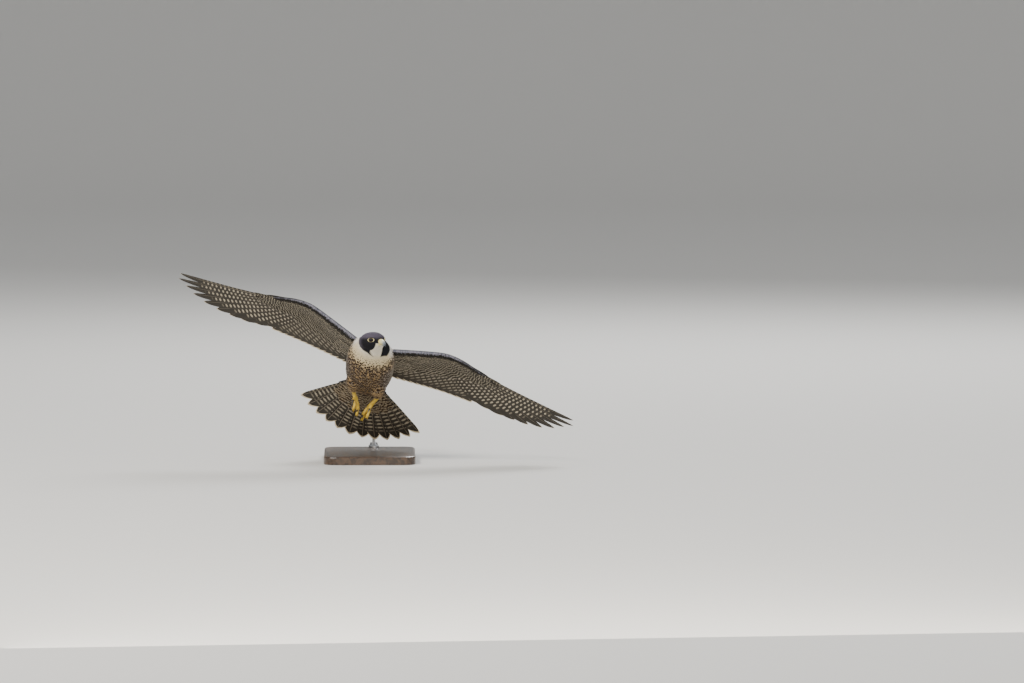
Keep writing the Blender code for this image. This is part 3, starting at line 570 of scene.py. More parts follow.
def thigh_share(points):
    """1 on the feathered legs and 0 elsewhere."""
    nearest = np.full(len(points), 1.0)
    for hip, heel, _ in legs.values():
        run = heel - hip
        along = np.clip((points - hip) @ run / (run @ run), 0.25, 1.1)
        away = np.linalg.norm(points - hip - along[:, None] * run, axis=1)
        nearest = np.minimum(nearest, away)
    return (1 - rising(nearest, 0.019, 0.024)) * rising(-points[:, 2], 0.028, 0.042)


def plumage(points):
    """For points on the skin: what the feathers that root there are like."""
    at = moved(head_in_body.inverted(), points)
    hx, hy, hz = np.abs(at[:, 0]), at[:, 1], at[:, 2]
    x, y, z = np.abs(points[:, 0]), points[:, 1], points[:, 2]
    away = np.linalg.norm(at, axis=1)
    near = 1 - rising(away, 0.041, 0.049)
    neck = 1 - rising(y, -0.115, -0.080)
    thigh = thigh_share(points)
    wing = rising(x, 0.050, 0.066)
    # the hood
    edge = np.interp(hy, hood_edge[:, 0], hood_edge[:, 1])
    hood = rising(hz - edge, -0.0012, 0.0012) * (1 - rising(away, 0.046, 0.051))
    throat = rising(0.0125 - hx, -0.0008, 0.0008) * rising(-0.003 - hz, -0.001, 0.001)
    hood = hood * (1 - throat * rising(-hy, -0.002, 0.004))
    nape = rising(0.025 - x, -0.003, 0.004) * rising(z, 0.007, 0.014)
    hood = np.maximum(hood, nape * (1 - rising(y, -0.088, -0.072)))
    # underparts, back and wings
    mantle_edge = np.interp(y, (-0.110, -0.075, -0.050, 0.080, 0.105),
                            (0.030, 0.022, 0.006, 0.003, -0.014))
    upper = rising(z - mantle_edge, -0.003, 0.003) * (1 - neck)
    belly = rising(y, -0.100, -0.045)
    bib = rising(y, -0.128, -0.092) * rising(-z, -0.006, 0.016)
    ground = blended(white, cream, np.maximum(bib, 0.45 * throat * near))
    ground = blended(ground, buff, belly)
    flank = rising(x, 0.030, 0.050) * rising(y, -0.070, -0.030)
    ground = blended(ground, np.array((0.25, 0.23, 0.22)), flank * 0.75)
    mark = np.tile(umber, (len(points), 1))
    bars = rising(y, -0.064, -0.030)
    spots = rising(y, -0.106, -0.074) * (1 - 0.25 * bars)
    ground = blended(ground, buff * 0.88, thigh)
    bars, spots = np.maximum(bars, thigh * 0.9), spots * (1 - thigh)
    ground = blended(ground, slate * 1.1, upper)
    mark = blended(mark, slate * 0.42, upper)
    bars = np.maximum(bars, upper * 0.8)
    spots = spots * (1 - upper)
    # the cap and the back of the head turn from ink towards plum: dark slate feathers with a painted
    # purple sheen
    cap_sheen_share = rising(hz, 0.004, 0.014) + 0.55 * rising(hy, 0.006, 0.020) * rising(hz, -0.024, -0.010)
    ground = blended(ground, blended(ink, cap_painted_sheen_plum, np.minimum(1.0, cap_sheen_share)), hood)
    mark = blended(mark, ink, hood)
    bars, spots = bars * (1 - hood) * (1 - near), spots * (1 - hood)
    # the small feathers over the flesh of the wings
    plan = np.stack([x, y], 1)
    middle = np.where(points[:, 0] > 0, wings["left"].height(plan), wings["right"].height(plan))
    front = np.where(points[:, 0] > 0, wings["left"].front(x), wings["right"].front(x))
    above = rising(z - middle, -0.0012, 0.0012)
    rim = 1 - rising(y - front, 0.000, 0.002)
    dark_line = 1 - rising(y - front, 0.007, 0.011)
    under_ground = blended(brown_grey * 0.55, brown_grey * 0.16, dark_line)
    wing_ground = blended(under_ground, slate, above)
    wing_mark = blended(pale_bar * 0.75, slate * 0.5, above)
    ground = blended(ground, wing_ground, wing)
    mark = blended(mark, wing_mark, wing)
    bars = bars * (1 - wing) + wing * (1 - rim) * (1 - 0.5 * above) * (1 - 0.8 * dark_line)
    spots = spots * (1 - wing)
    # lengths, widths and spacing
    face = near * rising(-hy, -0.010, 0.012)
    long = 0.0150 + 0.0035 * belly - 0.0055 * neck
    long = long * (1 - near) + near * (0.0064 - 0.0030 * face)
    long = long * (1 - thigh) + thigh * 0.0115
    far = rising(x, 0.10, 0.28)
    long = long * (1 - wing) + wing * (0.0078 + 0.0050 * rising(y - front, 0.004, 0.03)) * (
        1 - 0.25 * far)
    space = 0.0037 - 0.0011 * neck
    space = space * (1 - near) + near * (0.0017 - 0.0006 * face)
    space = space * (1 - thigh) + thigh * 0.0029
    space = space * (1 - wing) + wing * 0.0030
    return {"ground": ground, "mark": mark, "bars": bars, "spots": spots, "long": long,
            "space": space, "upper": upper, "hood": hood, "near": near, "thigh": thigh,
            "wing": wing}


# The bird's skin
# Under the feathers the prepared skin is thin, matt and stained like the feathers over it. It is
# drawn over the form, and its pattern shows wherever the plumage parts.


def set_values(mesh, values):
    """Stores one number or colour for each vertex, by name."""
    for name, value in values.items():
        value = np.asarray(value, np.float32)
        if value.ndim == 2:
            layer = mesh.attributes.new(name, "FLOAT_COLOR", "POINT")
            full = np.ones((len(value), 4), np.float32)
            full[:, :3] = value
            layer.data.foreach_set("color", full.ravel())
        else:
            layer = mesh.attributes.new(name, "FLOAT", "POINT")
            layer.data.foreach_set("value", value)


skin_look = plumage(skin_points)
set_values(smooth_skin, {"ground": skin_look["ground"], "mark": skin_look["mark"],
                         "bars": skin_look["bars"]})


patch_size = 0.003


def unwrapped(points):
    """A map of the skin by its own shape: a band round the body, and each wing's two faces."""
    x, y, z = points[:, 0], points[:, 1], points[:, 2]
    round_body = np.arctan2(x, -z) / math.tau + 0.5
    body = np.stack([0.02 + 0.56 * round_body, 0.02 + 0.94 * (y + 0.175) / 0.32], 1)
    above = np.where(x > 0, 1, 0) * 0.24
    plan = np.stack([np.abs(x), y], 1)
    middle = np.where(x > 0, wings["left"].height(plan), wings["right"].height(plan))
    row = above + np.where(z > middle, 0.48, 0.0)
    wing = np.stack([0.61 + 0.37 * (np.abs(x) - 0.05) / 0.28, 0.03 + row + 0.20 * (y + 0.18) / 0.20],
                    1)
    return np.where((np.abs(x) > 0.058)[:, None], wing, body).clip(0.002, 0.996)


def set_map(mesh, name, places):
    """A UV map from one place for each vertex."""
    corner = np.zeros(len(mesh.loops), np.int32)
    mesh.loops.foreach_get("vertex_index", corner)
    layer = mesh.uv_layers.new(name=name)
    layer.data.foreach_set("uv", np.asarray(places, np.float32)[corner].ravel())


def patches_at(points):
    """The corners and the size of small patches of the map, one for each feather's root."""
    return unwrapped(points) - patch_size / 2, patch_size


set_map(smooth_skin, "OFBake", unwrapped(skin_points))
smooth_skin.shade_smooth()
wire, fill = finish("feathered_skin")
down = wire.noise(wire.place(), 420.0, 3.0)
barred = wire.attribute("bars") * down.rises(0.45, 0.6)
under_down = barred.tint(wire.attribute("ground", 0), wire.attribute("mark", 0))
smooth_skin.materials.append(fill({
    "Base Color": down.rises(0.2, 0.9).tint(under_down, (0.08, 0.07, 0.06)), "Roughness": 0.85},
    down, 0.0006, 0.6))
smooth_skin.transform(body_pose)


# The coat of contour feathers
# Short curved feathers with a downy root and a frayed tip lie over one another like tiles. Each
# starts under the one before it, follows the lie of the coat and stands a little off the skin.


def vane_grid(stations, columns):
    """Faces of one vane's upper sheet and of its lower one, which share their rim."""
    top = np.arange(stations * columns).reshape(stations, columns)
    under = top.copy()
    inner = (stations - 2) * (columns - 2)
    under[1:-1, 1:-1] = stations * columns + np.arange(inner).reshape(stations - 2, -1)
    a, b, c, d = top[:-1, :-1], top[1:, :-1], top[1:, 1:], top[:-1, 1:]
    upper = np.stack([a, b, c, d], -1).reshape(-1, 4)
    a, b, c, d = under[:-1, :-1], under[1:, :-1], under[1:, 1:], under[:-1, 1:]
    lower = np.stack([a, d, c, b], -1).reshape(-1, 4)
    return upper, lower


def make_vanes(name, sheets, values, patches, covers, nodes=()):
    """One mesh of like vanes, riding on the body.

    sheets are the two faces' points (vanes, stations, columns, 3) in the body's frame, with 1
    where the last column leads and -1 where the first does, and the stations' share of the
    length; values are numbers or colours for each vane, or for each of its stations; patches are
    each vane's corner and size on the skin's unwrap; covers are the materials of the two faces.
    """
    upper, lower, lead, share = sheets
    count, stations, columns, _ = upper.shape
    inner = lower[:, 1:-1, 1:-1].reshape(count, -1, 3)
    points = np.concatenate([upper.reshape(count, -1, 3), inner], 1)
    each = points.shape[1]
    starts = (np.arange(count) * each)[:, None, None]
    faces = np.concatenate([(part[None] + starts).reshape(-1, 4)
                            for part in vane_grid(stations, columns)])
    mesh = bpy.data.meshes.new(name)
    mesh.vertices.add(count * each)
    mesh.vertices.foreach_set("co", moved(body_pose, points).astype(np.float32).ravel())
    mesh.loops.add(faces.size)
    mesh.polygons.add(len(faces))
    mesh.loops.foreach_set("vertex_index", faces.ravel().astype(np.int32))
    mesh.polygons.foreach_set("loop_start", np.arange(0, faces.size, 4, dtype=np.int32))
    for cover in covers:
        mesh.materials.append(cover)
    below = np.arange(len(faces)) >= len(faces) // 2
    mesh.polygons.foreach_set("material_index", (below * (len(covers) - 1)).astype(np.int32))
    along, across = np.meshgrid(share, np.linspace(-1, 1, columns), indexing="ij")
    along = np.concatenate([along.ravel(), along[1:-1, 1:-1].ravel()])
    across = np.concatenate([across.ravel(), across[1:-1, 1:-1].ravel()])
    place = np.stack([np.tile(along, (count, 1)), np.tile(0.5 + 0.5 * lead * across, (count, 1))],
                     -1)
    mesh.update(calc_edges=True)
    set_map(mesh, "Vane", place.reshape(-1, 2))
    corner, size = patches
    patch = corner[:, None, :] + (place - (0.0, 0.5)) * np.asarray(size)
    set_map(mesh, "OFBake", patch.reshape(-1, 2))
    mesh.uv_layers["OFBake"].active_render = True
    station = np.arange(stations * columns).reshape(stations, columns) // columns
    station = np.concatenate([station.ravel(), station[1:-1, 1:-1].ravel()])
    set_values(mesh, {
        key: value[:, station].reshape(-1, 3) if value.ndim == 3 else np.repeat(value, each, axis=0)
        for key, value in values.items()})
    mesh.shade_smooth()
    mesh.set_sharp_from_angle(angle=math.radians(80.0))
    made = link_object(name, mesh)
    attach(made, "root")
    if nodes:
        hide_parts(*nodes)


def unit(vectors):
    return vectors / np.maximum(np.linalg.norm(vectors, axis=-1, keepdims=True), 1e-9)


def bodies_of(spine, up, half, columns, thick, camber, fray):
    """Both faces of vanes about their spines, bowed down at the rim, with frayed tips."""
    count, stations = spine.shape[:2]
    ahead = unit(np.gradient(spine, axis=1))
    side = unit(np.cross(up, ahead))
    over = np.cross(ahead, side)
    across = np.linspace(-1, 1, columns)
    reach = half[..., None] * across
    size = np.linalg.norm(spine[:, -1] - spine[:, 0], axis=1)
    torn = chance.uniform(-1, 1, (count, 1, columns)) * (size * fray)[:, None, None]
    torn = torn * rising(np.linspace(0, 1, stations), 0.6, 1.0)[None, :, None]
    middle = spine[:, :, None] + side[:, :, None] * reach[..., None]
    middle = middle + ahead[:, :, None] * torn[..., None]
    middle = middle - over[:, :, None] * (np.abs(reach) * camber * np.abs(across))[..., None]
    rib = over[:, :, None] * (thick / 2 * (1 - across**2))[None, None, :, None]
    return middle + rib, middle - rib, 1, np.linspace(0, 1, stations)


class Vane:
    """What the shader of a feather starts from: a point's place on its vane, in metres."""

    def __init__(self, name):
        self.wire, self.fill = finish(name)
        uv = self.wire.node("ShaderNodeUVMap", {"uv_map": "Vane"}, {})
        self.along = uv.node("ShaderNodeSeparateXYZ", {}, {0: uv})
        lead = uv.node("ShaderNodeSeparateXYZ", {}, {0: uv}, 1) * 2.0 - 1.0
        self.front, self.behind = lead.maths("MAXIMUM", lead, 0.0), 0.0 - lead.maths(
            "MINIMUM", lead, 0.0)
        self.across = self.front + self.behind
        self.long = self.value("long")
        self.from_root = self.along * self.long
        self.from_tip = self.long - self.from_root
        self.place = self.wire.place()
        self.wobble = self.noise(150.0, 2.0)
        self.patchy = self.noise(45.0, 2.0)
        self.barbs = self.noise(1.0, 2.0, (self.from_root + self.across * 0.0016) * 2600.0,
                                self.value("chance") * 90.0)

    def value(self, attribute, output=2):
        return self.wire.attribute(attribute, output)

    def noise(self, scale, detail, x=None, y=None):
        where = self.place
        if x is not None:
            where = self.wire.node("ShaderNodeCombineXYZ", {}, {0: x, 1: y, 2: self.across * 1.5})
        return self.wire.noise(where, scale, detail)

    def wave(self, pitch, bend, unrest):
        """0 to 1 along each bar's pitch, bowed towards the tip at the shaft."""
        phase = self.from_root / pitch + self.across * self.across * bend + self.value("phase")
        phase = phase + (self.wobble - 0.5) * unrest
        return phase.maths("FRACT", phase)

    def finished(self, colour, roughness=0.68):
        """Adds barbs and wear to a colour and fills the material."""
        wear = self.wire.node("ShaderNodeMix", {"data_type": "RGBA", "blend_type": "MULTIPLY"}, {
            0: 1.0, 6: colour, 7: (self.barbs * 0.7 + self.patchy * 0.3).tint(
                (1.30, 1.29, 1.27), (0.66, 0.67, 0.70))}, 2)
        return self.fill({"Base Color": wear, "Roughness": roughness, "Specular IOR Level": 0.16},
                         self.barbs + (1 - self.across.rises(0.0, 0.10)) * 0.6, 0.00025, 0.55)


vane = Vane("contour_plumage")
pitch = vane.value("pitch")
wave = vane.wave(pitch, -0.28, 0.9)
bar = wave.rises(0.20, 0.32) * (1 - wave.rises(vane.value("duty"), vane.value("duty") + 0.14))
broken = 1 - (1 - vane.noise(105.0, 2.0).rises(0.40, 0.50)) * vane.value("broken")
bar = bar * broken * vane.value("bars")
size = vane.value("spots")
high = (vane.from_tip - 0.0034) / (size * 0.0040 + 0.0002)
wide = vane.across / (size * 0.92 + 0.04)
drop = (1 - (high * high + wide * wide).rises(0.55, 1.25)) * size.rises(0.02, 0.10)
marks = bar.maths("MAXIMUM", bar, drop).tint(vane.value("ground", 0), vane.value("mark", 0))
fringe = (vane.along + vane.across * vane.across * 0.05).rises(0.90, 0.99) * vane.value("edge")
marks = fringe.tint(marks, (0.56, 0.50, 0.42))
coat_finish = vane.finished(marks)


def lie(points, look):
    """Which way the feathers at points of the skin point, before they are laid on it."""
    near, thigh, wing = look["near"], look["thigh"], look["wing"]
    flow = np.tile((0.0, 1.0, 0.0), (len(points), 1))
    head = turned(head_in_body, np.array((0.0, 1.0, -0.15)))
    flow = blended(flow, head, 1 - rising(np.linalg.norm(
        points - head_centre, axis=1), 0.022, 0.055))
    leg = unit(legs["left"][1] - legs["left"][0])
    flow = blended(flow, leg, thigh)
    x = np.abs(points[:, 0])
    slant = np.radians(np.interp(x, (0.05, 0.10, 0.15, 0.18, 0.22, 0.30), (2, 10, 24, 38, 55, 66)))
    out = np.stack([np.sin(slant) * np.sign(points[:, 0]), np.cos(slant), 0 * slant], 1)
    return unit(blended(flow, out, wing))


def scattered(points, tree_mesh, spaces, tries):
    """Places spread over a mesh, none nearer to another than its own spacing."""
    corners = np.array([f.vertices[:4] if len(f.vertices) == 4 else
                        (*f.vertices, f.vertices[2]) for f in tree_mesh.polygons])
    a, b, c, d = (points[corners[:, i]] for i in range(4))
    area = np.linalg.norm(np.cross(c - a, d - b), axis=1) / 2
    weight = area / spaces[corners].mean(1) ** 2
    chosen = chance.choice(len(corners), tries, p=weight / weight.sum())
    s, t = chance.random((2, tries, 1))
    spots = ((a[chosen] * (1 - s) + b[chosen] * s) * (1 - t)
             + (d[chosen] * (1 - s) + c[chosen] * s) * t)
    gap = spaces[corners[chosen]].mean(1)
    kd = KDTree(tries)
    for i, p in enumerate(spots):
        kd.insert(p, i)
    kd.balance()
    alive, kept = np.ones(tries, bool), []
    for i in range(tries):
        if alive[i]:
            kept.append(i)
            for _, j, _ in kd.find_range(spots[i], gap[i]):
                alive[j] = False
    return spots[kept]


scatter_tries = 160000
bill_line, wing_line = -0.0262, 0.0585
roots = scattered(skin_points, smooth_skin, skin_look["space"], scatter_tries)
look = plumage(roots)
at_head = moved(head_in_body.inverted(), roots)
bare = (at_head[:, 1] < bill_line) | (np.abs(roots[:, 0]) > wing_line)
bare |= np.hypot(roots[:, 0], roots[:, 1] - tail_apex) > np.where(
    roots[:, 1] > tail_apex + 0.04, 0.080, 1.0)
for centre in eye_places.values():
    bare |= np.linalg.norm(at_head - centre, axis=1) < eye_radius + 0.0004
roots = roots[~bare]
look = {key: value[~bare] for key, value in look.items()}
skin_normals = turned(body_pose.inverted(), vertex_vectors(smooth_skin, "normal"))
skin_corners = [tuple(f.vertices) for f in smooth_skin.polygons]


def on_skin(points):
    """The nearest places on the skin and its normals there."""
    places, normals = np.empty_like(points), np.empty_like(points)
    for i, p in enumerate(points):
        spot, _, face, _ = skin_tree.find_nearest(p)
        places[i] = spot
        normals[i] = skin_normals[list(skin_corners[face])].mean(0)
    return places, unit(normals)


def coat_of(name, chosen, stations, columns, outline):
    """Lays the chosen feathers on the skin and makes them one piece."""
    start, own = roots[chosen], {key: value[chosen] for key, value in look.items()}
    count = len(start)
    long = own["long"] * chance.uniform(0.84, 1.16, count)
    eye_gap = np.min([np.linalg.norm(moved(head_in_body.inverted(), start) - e, axis=1)
                      for e in eye_places.values()], axis=0)
    long = np.minimum(long, np.maximum(0.0016, (eye_gap - 0.0078) * 1.2 + 0.0016))
    to_bill = moved(head_in_body.inverted(), start)[:, 1] - bill_line
    long = np.where(own["near"] > 0.5, np.minimum(long, 0.0016 + np.abs(to_bill) * 0.30), long)
    stray = chance.normal(0, 0.11, (count, 1)) * (1 - 0.4 * own["near"][:, None])
    flow = lie(start, own)
    spine, ups = np.empty((count, stations, 3)), np.empty((count, stations, 3))
    spot, normal = on_skin(start)
    for step in range(stations):
        spine[:, step], ups[:, step] = spot, normal
        ahead = unit(flow - normal * np.sum(flow * normal, 1, keepdims=True))
        ahead = unit(ahead + np.cross(normal, ahead) * stray)
        spot, normal = on_skin(spot + ahead * (long / (stations - 1))[:, None])
    along_look = plumage(spine.reshape(-1, 3))
    shade = chance.uniform(0.90, 1.10, (count, 1, 1))
    share = np.linspace(0, 1, stations)
    stand = 0.0003 + 0.040 * long + chance.uniform(0.0, 0.0005, count)
    lift = 0.0002 + stand[:, None] * share + 0.006 * long[:, None] * share**2
    spine = spine + ups * lift[..., None]
    width = (0.27 + 0.10 * own["near"] + 0.06 * own["wing"]) * long
    half = width[:, None] * np.array(outline) * chance.uniform(0.88, 1.12, (count, 1))
    sheets = bodies_of(spine, ups, half, columns, thick=0.00018, camber=0.20, fray=0.04)
    pitch = 0.0090 - 0.0020 * own["thigh"] - 0.0034 * own["upper"]
    pitch = pitch * (1 - own["wing"]) + 0.0062 * own["wing"]
    values = {
        "ground": along_look["ground"].reshape(count, stations, 3) * shade,
        "mark": along_look["mark"].reshape(count, stations, 3),
        "bars": own["bars"], "long": long, "chance": chance.random(count), "pitch": pitch,
        "spots": own["spots"] * np.where(chance.random(count) < 0.88, 1.0, 0.50),
        "phase": start[:, 1] / pitch + chance.normal(0, 0.10, count),
        "edge": 0.25 * (1 - own["hood"]) * (1 - own["near"]) * (1 - 0.5 * own["upper"]),
        "duty": 0.84 - 0.24 * own["upper"], "broken": 0.5 * (1 - own["wing"]) * (1 - own["upper"]),
    }
    make_vanes(name, sheets, values, patches_at(start), (coat_finish,))


head_coat, leg_coat = look["near"] > 0.5, look["thigh"] > 0.5
rest = ~head_coat & ~leg_coat
above_line = roots[:, 2] > np.interp(roots[:, 1], (-0.11, 0.10), (0.012, 0.002))
broad = (0.44, 0.82, 1.0, 1.0, 0.90, 0.66, 0.28)
for name, chosen in (
    ("coat_legs", leg_coat), ("coat_back", rest & above_line),
    ("coat_breast", rest & ~above_line & (roots[:, 1] < -0.035)),
    ("coat_belly", rest & ~above_line & (roots[:, 1] >= -0.035)),
):
    coat_of(name, chosen, 7, 5, broad)
for name, chosen in (("coat_face", head_coat & (at_head[~bare][:, 1] < -0.002)),
                     ("coat_crown", head_coat & (at_head[~bare][:, 1] >= -0.002))):
    coat_of(name, chosen, 5, 3, (0.5, 0.95, 1.0, 0.80, 0.30))
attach(skin, "root")
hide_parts("head", "neck", "torso", "thigh_left", "thigh_right")


# The flight feathers of the wings
# Ten primaries fan out from the hand and thirteen secondaries from the arm. Each stiff vane lies
# with its leading edge over its outer neighbour, on a pale shaft, and is spotted on its inner web.
primary_reach = np.array((0.191, 0.213, 0.238, 0.261, 0.287, 0.312, 0.331, 0.342, 0.354, 0.343))
primary_count, secondary_count = 10, 13
shaft_faces = ((1, "shaft_horn_dark"), (-1, "shaft_horn_pale"))


def primary(plan, index):
    """Roots and tips in plan of primaries, counted outwards from 0."""
    share = np.asarray(index, float) / (primary_count - 1)
    angle = np.radians(-2.8 + 40.4 * (1 - share) ** 1.1)
    reach = np.interp(share * (primary_count - 1), np.arange(primary_count), primary_reach)[:, None]
    root = (plan.wrist + plan.along * between(0.002, 0.080, share)[:, None]
            + plan.back * between(0.026, 0.012, share)[:, None])
    tip = (plan.wrist + plan.along * reach * np.cos(angle)[:, None]
           + plan.back * reach * np.sin(angle)[:, None])
    return root, tip


def secondary(plan, index):
    """Roots and tips in plan of secondaries, counted inwards from 0."""
    share = (np.asarray(index, float) / (secondary_count - 1))[:, None]
    start, end = plan.hand(-0.006, 0.028), np.array((0.044, -0.046))
    root = start * (1 - share) ** 2 + end * share**2
    root = root + np.array((0.118, -0.052)) * 2 * share * (1 - share)
    return root, between(plan.hand(0.131, 0.130), np.array((0.053, 0.033)), share)


def vane_width(share, tip):
    """Share of a vane's full width along it, for tips from 0, pointed, to 1, round."""
    grow = 0.45 + 0.55 * rising(share, 0.0, 0.35)
    start = between(0.50, 0.80, tip)
    fall = np.clip((share - start) / (1 - start), 0, 1)
    return grow * np.sqrt(np.maximum(0.0, 1 - fall ** between(1.4, 2.6, tip)))


def midlines(root, tip, sweep, share):
    """Middles of swept vanes in plan, the way they run, the way their fronts face, their lengths."""
    run = tip - root
    size = np.linalg.norm(run, axis=1)
    ahead = run / size[:, None]
    front = np.stack([ahead[:, 1], -ahead[:, 0]], 1)
    bend = (np.asarray(sweep) * size)[:, None] * (share * (1 - share) * 4)
    middle = root[:, None] + run[:, None] * share[:, None] - front[:, None] * bend[..., None]
    return middle, ahead, front, size


def flat_vanes(place, side, root, tip, webs, blunt, step, level=(0.0, 0.0), grid=(24, 9),
               thick=0.0007, sweep=0.0, fray=0.0, face=1):
    """The sheets of vanes laid over a surface that place() gives, from plan coordinates.

    side is the sign of the mirrored half, webs the leading and trailing widths, blunt the tips'
    shape, step the vanes' tilt, level its height over the surface at root and tip, and face is
    -1 for vanes that show their lower side.
    """
    stations, columns = grid
    share = 1 - (1 - np.linspace(0, 1, stations)) ** 1.25
    share[-1] = 1.0
    middle, ahead, front, size = midlines(root, tip, sweep, share)
    lead, trail, blunt, step = (np.broadcast_to(value, len(root))[:, None, None]
                                for value in (*webs, blunt, step))
    across = np.linspace(-1, 1, columns)
    full = np.maximum(vane_width(share[None], blunt[..., 0]), 0.06)
    reach = np.where(across > 0, lead, trail) * full[..., None] * across
    torn = chance.uniform(-1, 1, (len(size), 1, columns)) * (size * fray)[:, None, None]
    torn = (torn + 0.35 * np.abs(reach)) * rising(share, 0.78, 1.0)[None, :, None]
    spot = middle[:, :, None] + front[:, None, None] * reach[..., None]
    spot = spot - ahead[:, None, None] * torn[..., None]
    rise = between(level[0], level[1], rising(share, 0.0, 0.35))[None, :, None]
    rise = rise + step * reach
    half = thick / 2 * (1 - np.abs(across) ** 1.6) * between(1.0, 0.35, share)[:, None]
    upper, lower = place(spot, rise + half), place(spot, rise - half)
    facing = 1
    if side > 0:
        upper, lower, facing = upper[:, :, ::-1], lower[:, :, ::-1], -1
    if face < 0:
        upper, lower, facing = lower[:, :, ::-1], upper[:, :, ::-1], -facing
    return upper, lower, facing, share


def flight_finish(name, below):
    """Dark webs: pale ovals along the inner web and a pale rim below, faint bars above."""
    vane = Vane(name)
    wave = vane.wave(vane.value("pitch"), -0.16, 0.26) - 0.5
    fill_out = vane.value("fill")
    long_way, wide_way = wave / 0.22, (vane.behind - 0.46) / (fill_out * 0.38)
    oval = long_way * long_way + wide_way * wide_way
    long_way, wide_way = wave / 0.20, (vane.front - 0.62) / 0.40
    notch = long_way * long_way + wide_way * wide_way
    clear = vane.from_tip.rises(vane.value("blank"), vane.value("blank") * 1.2 + 0.012)
    ovals = (1 - oval.rises(0.55, 1.35)) * vane.behind.rises(0.04, 0.12)
    notches = (1 - notch.rises(0.5, 1.3)) * vane.front.rises(0.10, 0.25) * vane.value("notch")
    pale = ovals.maths("MAXIMUM", ovals, notches) * clear * vane.value("bars")
    square = vane.across * vane.across
    tip_gap = vane.from_tip - square * square * vane.value("rim") * 3.0
    rim = 1 - tip_gap.rises(vane.value("rim") * 0.7, vane.value("rim") * 1.2)
    ground, mark = vane.value("ground", 0), vane.value("mark", 0)
    if not below:
        ground = (pale * 0.55).tint(vane.patchy.tint((0.062, 0.066, 0.080), (0.085, 0.088, 0.100)),
                                    (0.20, 0.19, 0.18))
        ground = (rim * vane.value("edge") * 0.6).tint(ground, (0.22, 0.20, 0.18))
        shaft = (0.030, 0.024, 0.020)
    else:
        ground = (vane.behind * 0.25).tint(ground, (0.095, 0.082, 0.068))
        ground = (pale * (vane.patchy * 0.7 + 0.50)).tint(ground, mark)
        ground = (rim * vane.value("edge")).tint(ground, (0.76, 0.64, 0.44))
        shaft = (0.16, 0.13, 0.095)
    return vane.finished((1 - vane.across.rises(0.03, 0.07)).tint(ground, shaft), 0.60)


flight_covers = (flight_finish("flight_webs_above", False),
                 flight_finish("flight_webs_below", True))


def atlas(count):
    """Corners and size of one strip of a map for each of a row of large vanes."""
    height = 0.98 / count
    corner = np.stack([np.full(count, 0.01), 0.01 + (np.arange(count) + 0.5) * height], 1)
    return corner, (0.98, height * 0.92)


def row_values(root, tip, **given):
    """Numbers and colours for each of a row of feathers."""
    count, size = len(root), np.linalg.norm(tip - root, axis=1)
    made = {"ground": brown_grey * 0.62, "mark": pale_bar, "bars": 1.0, "spots": 0.0,
            "long": size, "chance": chance.random(count), "pitch": 0.0108, "edge": 0.4,
            "blank": 0.020, "rim": 0.0012, "notch": 0.5, "fill": 1.0, "phase": 0.0,
            "duty": 0.58, "broken": 0.0}
    made.update(given)
    made["phase"] = made["phase"] - size / made["pitch"]
    for key, value in made.items():
        shape = (count, 3) if key in ("ground", "mark") else (count,)
        made[key] = np.broadcast_to(np.asarray(value, float), shape)
    return made


def spacing(points, least):
    """Each point's distance from its neighbour in a row."""
    gap = np.linalg.norm(np.diff(points, axis=0), axis=1)
    return np.maximum(np.concatenate([gap[:1], gap]), least)


shaft_cover = {}
for name, colour in (("shaft_horn_pale", (0.21, 0.17, 0.12)),
                     ("shaft_horn_dark", (0.03, 0.024, 0.02))):
    wire, fill = finish(name)
    grain = wire.noise(wire.place(), 400.0)
    shaft_cover[name] = fill({"Base Color": grain.tint(colour, tuple(c * 0.6 for c in colour)),
                              "Roughness": 0.4}, grain, 0.0001, 0.3)


def make_shafts(name, place, root, tip, sweep, face, cover):
    """Tapering quills along the middles of vanes, on one of their faces."""
    stations, sides = 20, 6
    share = np.linspace(0.0, 0.96, stations)
    middle, _, front, _ = midlines(root, tip, sweep, share)
    thick = between(0.00095, 0.00022, share)
    turn = np.linspace(0, math.tau, sides, endpoint=False)
    spot = middle[:, :, None] + front[:, None, None] * (
        thick[:, None] * np.cos(turn))[None, :, :, None]
    rings = place(spot, (thick[:, None] * (face * 0.45 + 0.7 * np.sin(turn)))[None])
    work = bmesh.new()
    for vane_rings in rings:
        add_loft(work, vane_rings)
    mesh = mesh_of(work, name)
    mesh.materials.append(cover)
    made = link_object(name, mesh, body_pose)
    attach(made, "root")


